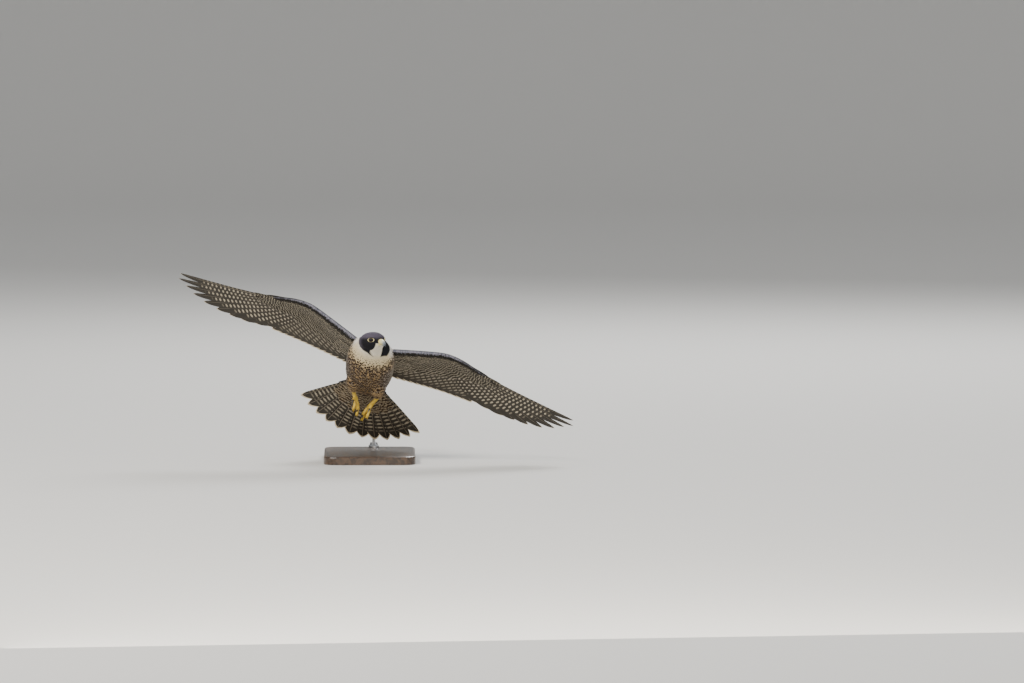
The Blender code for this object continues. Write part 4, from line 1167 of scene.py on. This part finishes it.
for side, plan in wings.items():
    index = np.arange(primary_count)
    share = index / (primary_count - 1)
    root, tip = primary(plan, index)
    webs = between(0.010, 0.006, share), np.where(index == 0, 0.019, between(0.021, 0.017, share))
    sweep = between(0.030, 0.012, share)
    sheets = flat_vanes(plan.place, plan.sign, root, tip, webs, between(0.95, 0.20, share),
                        0.0011 / spacing(tip, 0.012), sweep=sweep, grid=(30, 11), fray=0.003)
    values = row_values(root, tip, blank=between(0.034, 0.052, share), pitch=0.0112,
                        fill=between(0.84, 0.72, share), edge=between(0.9, 0.5, share),
                        rim=between(0.0032, 0.0016, share), ground=brown_grey * 0.40,
                        phase=0.12 * chance.random(primary_count))
    make_vanes(f"primaries_{side}", sheets, values, atlas(primary_count), flight_covers,
               (f"wing_{side}_hand",))
    inner_root, inner_tip = secondary(plan, np.arange(secondary_count))
    sheets = flat_vanes(plan.place, plan.sign, inner_root, inner_tip, (0.010, 0.018), 1.0,
                        0.0011 / spacing(inner_tip, 0.012), grid=(22, 11), fray=0.004)
    values = row_values(inner_root, inner_tip, pitch=0.0098, blank=0.017, edge=1.0, rim=0.0042,
                        ground=brown_grey * 0.48, mark=pale_bar * 0.62,
                        phase=0.12 * chance.random(secondary_count))
    make_vanes(f"secondaries_{side}", sheets, values, atlas(secondary_count), flight_covers,
               (f"wing_{side}_arm",))
    for face, cover in shaft_faces:
        make_shafts(f"primary_shafts_{side}_{cover}", plan.place, root, tip, sweep, face,
                    shaft_cover[cover])
        make_shafts(f"secondary_shafts_{side}_{cover}", plan.place, inner_root, inner_tip, 0.0,
                    face, shaft_cover[cover])


# The wing coverts
# Rows of coverts clothe the flesh of the wing on both faces. They grow from small ones at the
# leading edge to the greater coverts, one for each flight feather, over the flight feathers' roots.
covert_rows = (
    # share of the flesh's chord where a row is rooted, feathers' length at the body and at the
    # end of the hand, half width, spacing
    (-0.014, 0.0034, 0.0028, 0.0014, 0.0017), (0.010, 0.0060, 0.0046, 0.0016, 0.0019),
    (0.045, 0.0085, 0.0060, 0.0019, 0.0023), (0.090, 0.0100, 0.0070, 0.0022, 0.0027),
    (0.145, 0.0115, 0.0076, 0.0026, 0.0032), (0.215, 0.0130, 0.0082, 0.0030, 0.0037),
    (0.295, 0.0150, 0.0090, 0.0035, 0.0043), (0.385, 0.0175, 0.0100, 0.0040, 0.0050),
    (0.480, 0.0205, 0.0112, 0.0046, 0.0058), (0.570, 0.0240, 0.0125, 0.0052, 0.0066))


def wing_slant(x):
    """The plan direction of the coverts at X, from straight back at the body to far outwards."""
    turn = np.radians(np.interp(x, (0.05, 0.10, 0.15, 0.18, 0.22, 0.30), (3, 10, 24, 38, 54, 66)))
    return np.stack([np.sin(turn), np.cos(turn)], -1)


for side, plan in wings.items():
    for face, label in ((1, "above"), (-1, "below")):
        parts = []
        for row, (root_share, near_long, far_long, half, space) in enumerate(covert_rows):
            x = np.arange(0.046 + chance.uniform(0, space), 0.302, space)
            x = x + chance.normal(0, space * 0.15, len(x))
            chord = np.interp(x, flesh_at, flesh_chord)
            far = np.clip((x - 0.06) / 0.25, 0, 1)
            start = np.stack([x, plan.edge(x) + chord * root_share
                              + chance.normal(0, 0.0005, len(x))], 1)
            reach = between(near_long, far_long, far) * chance.uniform(0.86, 1.12, len(x))
            ahead = wing_slant(x)
            astray = chance.normal(0, 0.08, len(x))[:, None]
            ahead = unit(ahead + np.stack([-ahead[:, 1], ahead[:, 0]], 1) * astray)
            parts.append((start, start + ahead * reach[:, None],
                          half * between(1.0, 0.75, far), np.full(len(x), 0.00005 * row)))
        root, tip, half, lift = (np.concatenate(part) for part in zip(*parts))
        lift = lift + chance.uniform(0, 0.00025, len(lift))

        def place(spot, level, plan=plan, face=face, lift=lift):
            out = face * (plan.thickness(spot) - 0.0006 + lift[:, None, None])
            return plan.place(spot, out + level)

        sheets = flat_vanes(place, plan.sign, root, tip, (half, half), 0.6, face * 0.00012 / half,
                            (0.0, face * 0.0009), (7, 5), 0.00022, fray=0.03, face=face)
        behind = root[:, 1] - plan.edge(root[:, 0])
        streaky = (chance.random(len(root)) ** 2)[:, None]
        # the coverts at the leading edge are painted paler on both faces, a painted highlight where
        # the edge catches the light; below, the upper slate also wraps round the edge
        rim = (1 - rising(behind, -0.0006, 0.0008))[:, None]
        if face > 0:
            ground = blended(slate * 0.85, np.array((0.30, 0.29, 0.32)), rim[:, 0] * 0.2)
            given = {"mark": slate * 0.40, "bars": 0.75, "edge": 0.30, "pitch": 0.0062}
        else:
            dark = (1 - rising(behind, 0.0040, 0.0085))[:, None]
            ground = brown_grey * 0.42 * (1 - dark) + brown_grey * 0.14 * dark
            painted_highlight_lavender = np.array((0.23, 0.22, 0.26))
            ground = ground * (1 - rim) + (slate * 2 * streaky + painted_highlight_lavender * (1 - streaky)) * rim
            given = {"mark": pale_bar * 0.9, "bars": (0.85 * (1 - dark) * (1 - rim))[:, 0],
                     "edge": 0.05 * (1 - dark[:, 0]), "pitch": 0.0062, "duty": 0.44,
                     "phase": 0.56 + 0.10 * chance.random(len(root))}
        values = row_values(root, tip, ground=ground, **given)
        make_vanes(f"small_coverts_{label}_{side}", sheets, values,
                   patches_at(sheets[0][:, 0, 2]), (coat_finish,))
        # the median and greater coverts, the greater ones one to a flight feather
        for kind, count, near, far, tag, out in (
                (secondary, secondary_count, 0.53, 0.50, "greater_secondary", 0.0001),
                (secondary, 17, 0.37, 0.36, "median_secondary", 0.0005),
                (primary, primary_count, 0.44, 0.27, "greater_primary", 0.0001),
                (primary, 13, 0.28, 0.17, "median_primary", 0.0005)):
            top = (secondary_count if kind is secondary else primary_count) - 1
            index = np.linspace(0.3 if kind is secondary else 0.0, top, count)
            root, tip = kind(plan, index)
            tip = root + (tip - root) * between(near, far, index / top)[:, None]
            tip = tip + chance.normal(0, 0.0006, tip.shape)
            gap = spacing(tip, 0.007)

            def place(spot, level, plan=plan, face=face, out=out):
                return plan.place(spot, face * (plan.thickness(spot) + out) + level)

            sheets = flat_vanes(place, plan.sign, root, tip, (gap * 0.60, gap * 0.64), 0.85,
                                0.0007 / gap, (0.0, face * 0.0004), (14, 9), 0.0004, fray=0.018,
                                face=face)
            if face > 0:
                given = {"ground": slate * 0.85, "mark": slate * 0.42, "bars": 0.75,
                         "edge": 0.2, "pitch": 0.0095}
            else:
                given = {"ground": brown_grey * 0.45, "mark": pale_bar * 0.72, "bars": 0.9,
                         "edge": 0.1, "pitch": 0.0068 if "median" in tag else 0.0080,
                         "duty": 0.42}
            make_vanes(f"{tag}_coverts_{label}_{side}", sheets,
                       row_values(root, tip, phase=0.2 * chance.random(count), **given),
                       atlas(count), (coat_finish,))


# The alula
# Three stiff feathers on the thumb lie along the front of the hand, over the primary coverts.
# Each is barred like the primaries and overlaps the next one towards the tail.
for side, plan in wings.items():
    step = np.arange(3)
    root = np.array([plan.hand(0.018, 0.010 + 0.003 * i) for i in step])
    tip = np.array([plan.hand(0.112 - 0.018 * i, 0.004 + 0.007 * i) for i in step])

    def place(spot, level, plan=plan):
        order = (0.0012 - 0.0005 * step)[:, None, None]
        return plan.place(spot, plan.thickness(spot) + order + level)

    sheets = flat_vanes(place, plan.sign, root, tip, (0.0045, 0.0078), 0.30, 0.03, (0.0, 0.0006),
                        (16, 7), 0.0005, fray=0.012)
    make_vanes(f"alula_{side}", sheets, row_values(root, tip, bars=0.6, edge=0.4, pitch=0.009),
               atlas(len(step)), flight_covers)


# The scapulars and axillaries
# Long feathers of the shoulder close the gap between back and wing above, and barred ones hang
# from the armpit over the inner wing below.
for side, plan in wings.items():
    for face, label, rows in (
            (1, "scapulars", ((0.046, -0.052, 8, 0.030), (0.050, -0.030, 8, 0.034),
                              (0.052, -0.008, 7, 0.038))),
            (-1, "axillaries", ((0.052, -0.054, 10, 0.022), (0.053, -0.042, 10, 0.025),
                                (0.054, -0.028, 10, 0.030)))):
        parts = []
        for out, back, count, reach in rows:
            x = out + np.linspace(-0.006, 0.034, count)
            y = back + np.linspace(0.0, -0.006, count)
            root = np.stack([x, y], 1) + chance.normal(0, 0.0010, (count, 2))
            turn = np.radians(np.linspace(4.0, 24.0, count) + chance.normal(0, 3.0, count))
            size = reach * chance.uniform(0.92, 1.08, count)
            tip = root + np.stack([np.sin(turn), np.cos(turn)], 1) * size[:, None]
            parts.append((root, tip))
        root, tip = (np.concatenate(part) for part in zip(*parts))
        lift = np.repeat([0.0026 - 0.0006 * i for i in range(len(rows))], [r[2] for r in rows])

        def place(spot, level, plan=plan, face=face, lift=lift):
            return plan.place(spot, face * (plan.thickness(spot) + lift[:, None, None]) + level)

        half = 0.0056 if face > 0 else 0.0034
        sheets = flat_vanes(place, plan.sign, root, tip, (half, half), 0.7, 0.03,
                            (face * -0.0020, face * 0.0006), (10, 7), 0.0003, fray=0.03, face=face)
        if face > 0:
            given = {"ground": slate, "mark": slate * 0.45, "edge": 0.3, "pitch": 0.0085}
        else:
            given = {"ground": brown_grey * 0.45, "mark": pale_bar * 0.85, "edge": 0.1,
                     "pitch": 0.0066, "duty": 0.46}
        make_vanes(f"{label}_{side}", sheets, row_values(root, tip, bars=0.9, **given),
                   patches_at(sheets[0][:, 0, 3]), (coat_finish,))


# The tail
# Twelve long feathers fan out on a flat muscle. The middle pair lies on top, each other feather
# half under its inner neighbour, and coverts lie over their roots on both faces.
tail_pairs = 6
tail_shares = np.arange(tail_pairs) / (tail_pairs - 1)
for sign, side in ((1, "left"), (-1, "right")):
    angle = np.radians(tail_half_fan * (2 * np.arange(tail_pairs) + 1) / (2 * tail_pairs - 1))
    ray = np.stack([np.sin(angle), np.cos(angle)], 1)
    root, tip = ray * 0.052, ray * between(0.215, 0.204, tail_shares)[:, None]

    def place(spot, level, sign=sign):
        return np.stack([spot[..., 0] * sign, spot[..., 1] + tail_apex,
                         level + 0.0011 * sign - tail_droop * spot[..., 1]], -1)

    webs = between(0.0175, 0.0060, tail_shares), between(0.0175, 0.0200, tail_shares)
    sheets = flat_vanes(place, sign, root, tip, webs, 1.0, 0.00085 / 0.0331, grid=(26, 11),
                        fray=0.004)
    values = row_values(root, tip, pitch=0.0116, edge=1.0, blank=0.022, notch=1.0, fill=1.05,
                        rim=0.0058, ground=brown_grey * 0.36, mark=pale_bar * 0.72,
                        phase=0.15 * chance.random(tail_pairs))
    make_vanes(f"tail_feathers_{side}", sheets, values, atlas(tail_pairs), flight_covers,
               ("tail",))
    for face, cover in shaft_faces:
        make_shafts(f"tail_shafts_{side}_{cover}", place, root, tip, 0.0, face,
                    shaft_cover[cover])


def tail_flesh_half(spot):
    """Half thickness of the tail's muscle under a point of its plan."""
    distance = np.hypot(spot[..., 0], spot[..., 1])
    turn = np.degrees(np.arctan2(spot[..., 0], spot[..., 1])) / muscle_half_fan
    thick = np.interp(distance, (0.040, 0.096, 0.112), (0.0148, 0.0044, 0.0018))
    return between(thick, np.minimum(thick, 0.0040), np.clip(turn**2, 0, 1))


covert_half_fan = 44.0
tail_rows = (
    # root's and tip's distance from the hinge, feathers across, half width, lift
    (0.040, 0.066, 19, 0.0042, 0.0010), (0.046, 0.076, 21, 0.0045, 0.0009),
    (0.052, 0.086, 21, 0.0050, 0.0007), (0.058, 0.098, 20, 0.0056, 0.0005),
    (0.065, 0.112, 18, 0.0064, 0.0003), (0.074, 0.128, 16, 0.0074, 0.0001))
for face, label in ((1, "above"), (-1, "below")):
    parts = []
    for near, far, count, half, lift in tail_rows:
        turn = np.linspace(-1, 1, count) * covert_half_fan + chance.normal(0, 1.2, count)
        ray = np.stack([np.sin(np.radians(turn)), np.cos(np.radians(turn))], 1)
        bowed = 1 - 0.14 * (turn / covert_half_fan) ** 2
        reach = far * bowed * chance.uniform(0.95, 1.04, count)
        parts.append((ray * near, ray * reach[:, None], np.full(count, half),
                      lift + chance.uniform(0, 0.0003, count)))
    root, tip, half, lift = (np.concatenate(part) for part in zip(*parts))

    def place(spot, level, face=face, lift=lift):
        out = face * (tail_flesh_half(spot) + 0.0008 + lift[:, None, None])
        return np.stack([spot[..., 0], spot[..., 1] + tail_apex,
                         out + level - tail_droop * spot[..., 1]], -1)

    sheets = flat_vanes(place, 1, root, tip, (half, half), 0.8, 0.03, (0.0, face * 0.0006),
                        (11, 7), 0.0003, fray=0.03, face=face)
    if face > 0:
        given = {"ground": slate, "mark": slate * 0.42, "bars": 0.85, "edge": 0.3}
    else:
        given = {"ground": (0.27, 0.215, 0.140), "mark": umber, "bars": 1.0, "edge": 0.2,
                 "broken": 0.5, "duty": 0.78}
    phase = 0.3 * chance.random(len(root))
    make_vanes(f"tail_coverts_{label}", sheets,
               row_values(root, tip, pitch=0.0092, phase=phase, **given),
               patches_at(sheets[0][:, 0, 3]), (coat_finish,))


# The eyes
# Glass eyes, large, dark and glossy, each set in its socket within a ring of bare yellow skin
# that is drawn out to a point at both corners, with the brow's shadow painted dark above and below.


def eyeball_mesh(name, centre, radius, look, bulge):
    """A fine ball; the side that faces look carries the shallow dome of the cornea."""
    dome_edge = 0.72
    work = bmesh.new()
    bmesh.ops.create_uvsphere(work, u_segments=48, v_segments=28, radius=radius)
    for vertex in work.verts:
        facing = vertex.co.normalized().dot(look)
        if facing > dome_edge:
            vertex.co *= 1 + bulge * ((facing - dome_edge) / (1 - dome_edge)) ** 0.7
        vertex.co += Vector(centre)
    return mesh_of(work, name)


eye_look = {"left": Vector((0.86, -0.50, 0.06)).normalized(),
            "right": Vector((-0.86, -0.50, 0.06)).normalized()}
wire, fill = finish("ring_skin_yellow_and_brow_shade")
beads = wire.node("ShaderNodeTexVoronoi", {}, {"Vector": wire.place(), "Scale": 1400.0})
pale_skin = beads.rises(0.0, 0.6).tint((0.88, 0.83, 0.52), (0.74, 0.65, 0.32))
# the ring is painted dark olive above and below the eye, a painted shadow of the brow, and stays
# yellow at the corners
ring_colour_and_brow_shade = wire.attribute("corner").rises(0.05, 0.6).tint((0.15, 0.115, 0.05), pale_skin)
ring_skin = fill({"Base Color": ring_colour_and_brow_shade, "Roughness": 0.42}, 1 - beads, 0.0002, 0.6)
for side, centre in eye_places.items():
    look_out = eye_look[side]
    ball = eyeball_mesh(f"eyeball_{side}", centre, eye_radius - 0.0003, look_out, 0.035)
    wire, fill = finish(f"eye_{side}_glass")
    away = wire.away_from(head_pose @ (Vector(centre) + look_out * eye_radius))
    iris = away.rises(0.0027, 0.0033)
    grain = wire.noise(wire.place(), 2600.0)
    brown = grain.tint((0.016, 0.008, 0.004), (0.008, 0.004, 0.003))
    pupil = iris.tint((0.002, 0.002, 0.002), brown)
    ball.materials.append(fill({
        "Base Color": away.rises(0.0058, 0.0066).tint(pupil, (0.006, 0.004, 0.003)),
        "Roughness": 0.05, "Specular IOR Level": 0.22}))
    eye = link_object(f"eyeball_{side}", ball, head_pose)
    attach(eye, "root")
    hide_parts(f"eye_{side}")
    # the ring: an uneven roll of skin round the eye, drawn out to a point at both corners
    first = look_out.cross(Vector((0, 0, 1))).normalized()
    second = first.cross(look_out).normalized()
    turns, rolls = 96, 12
    ring = np.empty((turns, rolls, 3))
    for i in range(turns):
        angle = math.tau * i / turns
        corner = abs(math.cos(angle)) ** 5
        reach = 0.0054 + 0.0021 * corner
        out = first * math.cos(angle) + second * math.sin(angle) * 0.90
        depth = math.sqrt(eye_radius**2 - 0.0053**2) + 0.0001 - 0.0009 * corner
        spot = Vector(centre) + look_out * depth + out * reach
        for j in range(rolls):
            roll = math.tau * j / rolls
            fat = 0.00036 + 0.00003 * math.sin(angle * 13.0) + 0.00050 * corner
            ring[i, j] = spot + (out * math.cos(roll) + look_out * math.sin(roll)) * fat
    work = bmesh.new()
    made = [[work.verts.new(p) for p in row] for row in ring]
    for i in range(turns):
        for j in range(rolls):
            following = (j + 1) % rolls
            work.faces.new((made[i][j], made[(i + 1) % turns][j],
                            made[(i + 1) % turns][following], made[i][following]))
    ring_mesh = mesh_of(work, f"eye_ring_{side}")
    turn = np.repeat(np.arange(turns), rolls) * math.tau / turns
    # corner is 1 at the corners and 0 above and below, where the painted brow shadow darkens the ring
    set_values(ring_mesh, {"corner": np.abs(np.cos(turn)) ** 4})
    ring_mesh.materials.append(ring_skin)
    ring_piece = link_object(f"eye_ring_{side}", ring_mesh, head_pose)
    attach(ring_piece, "root")


# The bill
# A horny sheath over the bone, notched behind a hooked tip, pale at the root and slate at the
# point. Waxy yellow skin, the cere, wraps its root and is pierced by round, pegged nostrils.
bill_root, bill_tip = -0.0256, -0.0440
upper_bill = np.array((
    # share of the length, half width, top, bottom
    (0.00, 0.0070, 0.0066, -0.0042), (0.16, 0.0069, 0.0068, -0.0046),
    (0.30, 0.0065, 0.0063, -0.0052), (0.46, 0.0058, 0.0050, -0.0056),
    (0.62, 0.0050, 0.0034, -0.0060), (0.74, 0.0041, 0.0014, -0.0066),
    (0.80, 0.0036, 0.0001, -0.0076), (0.85, 0.0030, -0.0014, -0.0070),
    (0.94, 0.0019, -0.0048, -0.0094), (1.00, 0.0006, -0.0092, -0.0110)))
lower_bill = np.array((
    (0.00, 0.0064, -0.0050, -0.0098), (0.25, 0.0061, -0.0053, -0.0097),
    (0.50, 0.0050, -0.0058, -0.0093), (0.68, 0.0035, -0.0064, -0.0089),
    (0.76, 0.0021, -0.0075, -0.0086)))


def bill_rings(rows, count, sides, first=0.0, last=None):
    """Rings along the bill, pinched to a ridge above, in the head's frame."""
    at = np.linspace(first, rows[-1, 0] if last is None else last, count)
    wide, top, bottom = (softened(np.interp(at, rows[:, 0], rows[:, i]), 2) for i in (1, 2, 3))
    angle = np.linspace(0, math.tau, sides, endpoint=False)
    side = np.sign(np.cos(angle)) * np.abs(np.cos(angle)) ** 0.86
    y = between(bill_root + 0.0009, bill_tip, at)
    x = wide[:, None] * side
    z = (top + bottom)[:, None] / 2 + (top - bottom)[:, None] / 2 * np.sin(angle)
    return np.stack([x, np.broadcast_to(y[:, None], x.shape), z], -1)


def lofted(name, rings, cover, matrix=None):
    """A smooth closed piece through rings of points."""
    work = bmesh.new()
    add_loft(work, rings)
    mesh = mesh_of(work, name)
    mesh.set_sharp_from_angle(angle=math.radians(60.0))
    mesh.materials.append(cover)
    return link_object(name, mesh, matrix)


wire, fill = finish("bill_horn_and_tip")
streak = wire.noise(wire.place(), 700.0, 3.0)
reach = wire.away_from(head_pose @ Vector((0.0, bill_root, 0.0))) + (streak - 0.5) * 0.003
horn_root = reach.rises(0.0095, 0.0150).tint((0.64, 0.58, 0.34), (0.20, 0.22, 0.25))
horn = fill({"Base Color": reach.rises(0.0145, 0.0200).tint(horn_root, (0.022, 0.024, 0.032)),
             "Roughness": streak * 0.15 + 0.24, "Coat Weight": 0.35, "Coat Roughness": 0.15},
            streak, 0.00012, 0.4)
for name, rows, node in (("bill_sheath_upper", upper_bill, "bill_upper"),
                         ("bill_sheath_lower", lower_bill, "bill_lower")):
    sheath = lofted(name, bill_rings(rows, 56, 48), horn, head_pose)
    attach(sheath, "root")
    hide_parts(node)
cere_rings = bill_rings(upper_bill, 64, 120, first=-0.10, last=0.36)
swell = 0.00055 * np.sqrt(np.clip(np.linspace(1.0, 0.0, 64), 0, 1)) + 0.00001
centre_line = cere_rings.mean(1, keepdims=True)
outward = unit(cere_rings - centre_line)
cere_rings = cere_rings + outward * swell[:, None, None]
nostrils = np.array(((-0.0066, -0.0285, 0.0024), (0.0066, -0.0285, 0.0024)))
for nostril in nostrils:
    away = np.linalg.norm(cere_rings - nostril, axis=2)
    pit = (1 - rising(away, 0.0007, 0.0012)) * rising(away, 0.00015, 0.0005)
    rim = np.exp(-(((away - 0.0014) / 0.0003) ** 2))
    cere_rings = cere_rings + outward * (0.00018 * rim - 0.0011 * pit)[..., None]
wire, fill = finish("cere_skin_yellow")
wax = wire.noise(wire.place(), 900.0, 3.0)
waxy = wax.rises(0.3, 0.7).tint((0.84, 0.74, 0.34), (0.74, 0.60, 0.20))
# the pits of the nostrils are painted near black, a painted shade in the hollows round each peg
cere_skin = fill({"Base Color": wire.attribute("hollow").tint(waxy, (0.02, 0.014, 0.008)),
                  "Roughness": wax * 0.2 + 0.30}, wax, 0.00015, 0.5)
cere = lofted("cere", cere_rings, cere_skin, head_pose)
points = moved(head_pose.inverted(), vertex_vectors(cere.data))
away = np.linalg.norm(points[:, None] - nostrils, axis=2).min(1)
# the ring round each nostril's peg where the painted shade lies
hollow = (1 - rising(away, 0.0009, 0.0013)) * rising(away, 0.0003, 0.0005)
set_values(cere.data, {"hollow": hollow})
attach(cere, "root")


def limb_rings(path, radii, sides, flat=1.0, side=(1.0, 0.0, 0.0)):
    """Rings round a path, kept square to it."""
    ahead = unit(np.gradient(np.asarray(path, float), axis=0))
    up = unit(np.cross(ahead, np.asarray(side, float)))
    across = np.cross(up, ahead)
    turn = np.linspace(0, math.tau, sides, endpoint=False)
    radii = np.asarray(radii, float)
    return (np.asarray(path)[:, None] + across[:, None] * (radii[:, None] * np.cos(turn))[..., None]
            + up[:, None] * (radii[:, None] * flat * np.sin(turn))[..., None])


def run_along(line):
    """How far along a path each of its points lies."""
    return np.concatenate([[0], np.cumsum(np.linalg.norm(np.diff(line, axis=0), axis=1))])


def smooth_path(points, count):
    """A soft curve through a few points."""
    points = np.asarray(points, float)
    run = run_along(points)
    at = np.linspace(0, run[-1], count)
    line = np.stack([np.interp(at, run, points[:, i]) for i in range(3)], 1)
    return softened(line, max(1, count // 12)), at / run[-1]


for sign, side in ((1, "left"), (-1, "right")):
    corner = np.array(((0.0122, -0.0185, -0.0082), (0.0108, -0.0215, -0.0070),
                       (0.0086, -0.0245, -0.0060), (0.0070, -0.0275, -0.0056))) * (sign, 1, 1)
    line, share = smooth_path(corner, 24)
    line, _ = on_skin(moved(head_in_body, line))
    line[-9:] = between(line[-9:], moved(head_in_body, between(
        corner[-2], corner[-1] + (0, -0.004, 0.0002), np.linspace(0, 1, 9)[:, None])),
        np.linspace(0, 1, 9)[:, None])
    line = smooth_path(line, 24)[0]
    radii = 0.00095 * np.sqrt(np.clip(share / 0.3, 0.02, 1)) * between(1.0, 0.7, share)
    lip = lofted(f"gape_skin_{side}", limb_rings(line, radii, 14), cere_skin, body_pose)
    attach(lip, "root")


# The feet
# Long shanks and toes in yellow skin with plates along their fronts, each toe with a pad under
# every joint and a curved black claw of polished horn.
tarsus_radii = (0.0052, 0.0048, 0.0046, 0.0052, 0.0062)
toes = (
    # name, spread outwards in degrees, bones' lengths, first bend and bend at each joint
    ("inner", -11.0, (0.013, 0.011, 0.009), 20.0, 34.0),
    ("middle", 4.0, (0.015, 0.013, 0.011, 0.009), 8.0, 27.0),
    ("outer", 24.0, (0.012, 0.010, 0.009, 0.008), 18.0, 30.0),
    ("hind", 180.0, (0.011, 0.009), 48.0, 40.0),
)
toe_radius, claw_length, claw_root = 0.0041, 0.0150, 0.0016
plate_length, plate_relief, foot_voxel = 0.0024, 0.00020, 0.00046
wire, fill = finish("scaled_yellow_skin")
cells = wire.node("ShaderNodeTexVoronoi", {"feature": "DISTANCE_TO_EDGE"},
                  {"Vector": wire.place(), "Scale": 720.0})
stain = wire.noise(wire.place(), 130.0, 4.0)
grooves = wire.attribute("groove")
yellow = stain.rises(0.30, 0.70).tint((0.66, 0.46, 0.05), (0.46, 0.29, 0.03))
edges = grooves.maths("MAXIMUM", grooves * 0.55, (1 - cells.rises(0.0, 0.14)) * 0.35)
foot_skin = fill({"Base Color": edges.tint(yellow, (0.16, 0.085, 0.02)),
                  "Roughness": stain * 0.2 + 0.36}, cells.rises(0.0, 0.2), 0.0002, 0.6)
wire, fill = finish("black_claw_horn")
fibre = wire.noise(wire.place(), 900.0)
claw_horn = fill({"Base Color": fibre.tint((0.012, 0.011, 0.012), (0.045, 0.040, 0.038)),
                  "Roughness": fibre * 0.2 + 0.18}, fibre, 0.0001, 0.4)
for side, (hip, heel, hub_of_foot) in legs.items():
    outward_sign = 1 if side == "left" else -1
    ahead = unit(hub_of_foot - heel)
    up = unit(np.cross((1.0, 0.0, 0.0), ahead))
    across = np.cross(ahead, up)
    work = bmesh.new()
    bones = []
    shank = [between(heel, hub_of_foot, s) for s in (-0.25, 0.15, 0.5, 0.85, 1.06)]
    line, share = smooth_path(shank, 40)
    radii = np.interp(share, np.linspace(0, 1, 5), tarsus_radii) * 0.97
    bones.append((line, radii, up))
    add_loft(work, limb_rings(line, radii, 20, 1.12))
    for name, spread, lengths, first, bend in toes:
        turn = math.radians(spread * outward_sign)
        level = ahead * math.cos(turn) + across * math.sin(turn)
        spot, joints, angle = hub_of_foot.copy(), [hub_of_foot.copy()], math.radians(first)
        for length in lengths:
            spot = spot + (level * math.cos(angle) - up * math.sin(angle)) * length
            joints.append(spot.copy())
            angle += math.radians(bend)
        line, share = smooth_path(joints, 14 * len(lengths))
        marks = np.concatenate([[0], np.cumsum(lengths)]) / sum(lengths)
        near_joint = np.min([np.abs(share - m) for m in marks[:-1]], axis=0) * sum(lengths)
        pads = 1.0 + 0.13 * np.exp(-((near_joint / 0.0026) ** 2)) - 0.05
        radii = toe_radius * between(1.0, 0.76, share) * pads
        radii[-3:] *= (0.96, 0.86, 0.62)
        rings = limb_rings(line, radii, 18, 1.0, np.cross(up, level) if name != "hind" else across)
        add_loft(work, rings)
        bones.append((line, radii, up))
        end_ahead = unit(joints[-1] - joints[-2])
        down = unit(level * np.dot(end_ahead, up) - up * np.dot(end_ahead, level))
        spot = joints[-1] - end_ahead * claw_root
        path, steps = [], 18
        for i in range(steps + 1):
            path.append(spot.copy())
            bent = math.radians(74.0) * i / steps
            step = (claw_length + claw_root) / steps
            spot = spot + (end_ahead * math.cos(bent) + down * math.sin(bent)) * step
        share = np.linspace(0, 1, steps + 1)
        thick = toe_radius * 0.72 * 0.86 * (1 - share) ** 0.72 + 0.00012
        thick[:3] *= (0.80, 0.98, 1.03)
        side_way = unit(np.cross(down, end_ahead))
        claw = lofted(f"talon_{side}_{name}", limb_rings(path, thick * 0.86, 18, 1.16, side_way),
                      claw_horn, body_pose)
        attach(claw, "root")
        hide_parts(f"claw_{side}_{name}")
    piece = fused(f"shank_and_toes_{side}", work, foot_voxel, 5)
    skin_mesh = piece.data
    points, normals = vertex_vectors(skin_mesh), vertex_vectors(skin_mesh, "normal")
    best = np.full(len(points), 1e9)
    run_at, front_face = np.zeros(len(points)), np.zeros(len(points))
    for line, radii, front in bones:
        run = run_along(line)
        gaps = np.linalg.norm(points[:, None] - line[None], axis=2) - radii[None]
        nearest = gaps.argmin(1)
        closer = gaps.min(1) < best
        best = np.where(closer, gaps.min(1), best)
        tangent = unit(np.gradient(line, axis=0))[nearest]
        exact = run[nearest] + np.sum((points - line[nearest]) * tangent, 1)
        face_up = unit(front - tangent * np.sum(tangent * front, 1, keepdims=True))
        run_at = np.where(closer, exact, run_at)
        front_face = np.where(closer, np.sum(normals * face_up, 1), front_face)
    wave = np.abs(np.sin(math.pi * run_at / plate_length))
    plates = rising(front_face, 0.1, 0.5)
    points = points + normals * (plate_relief * (wave**0.5 - 0.7) * plates)[:, None]
    skin_mesh.vertices.foreach_set("co", points.ravel())
    set_values(skin_mesh, {"groove": (1 - rising(wave, 0.10, 0.42)) * plates})
    skin_mesh.shade_smooth()
    skin_mesh.materials.append(foot_skin)
    skin_mesh.transform(body_pose)
    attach(piece, "root")
    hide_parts(f"foot_{side}")
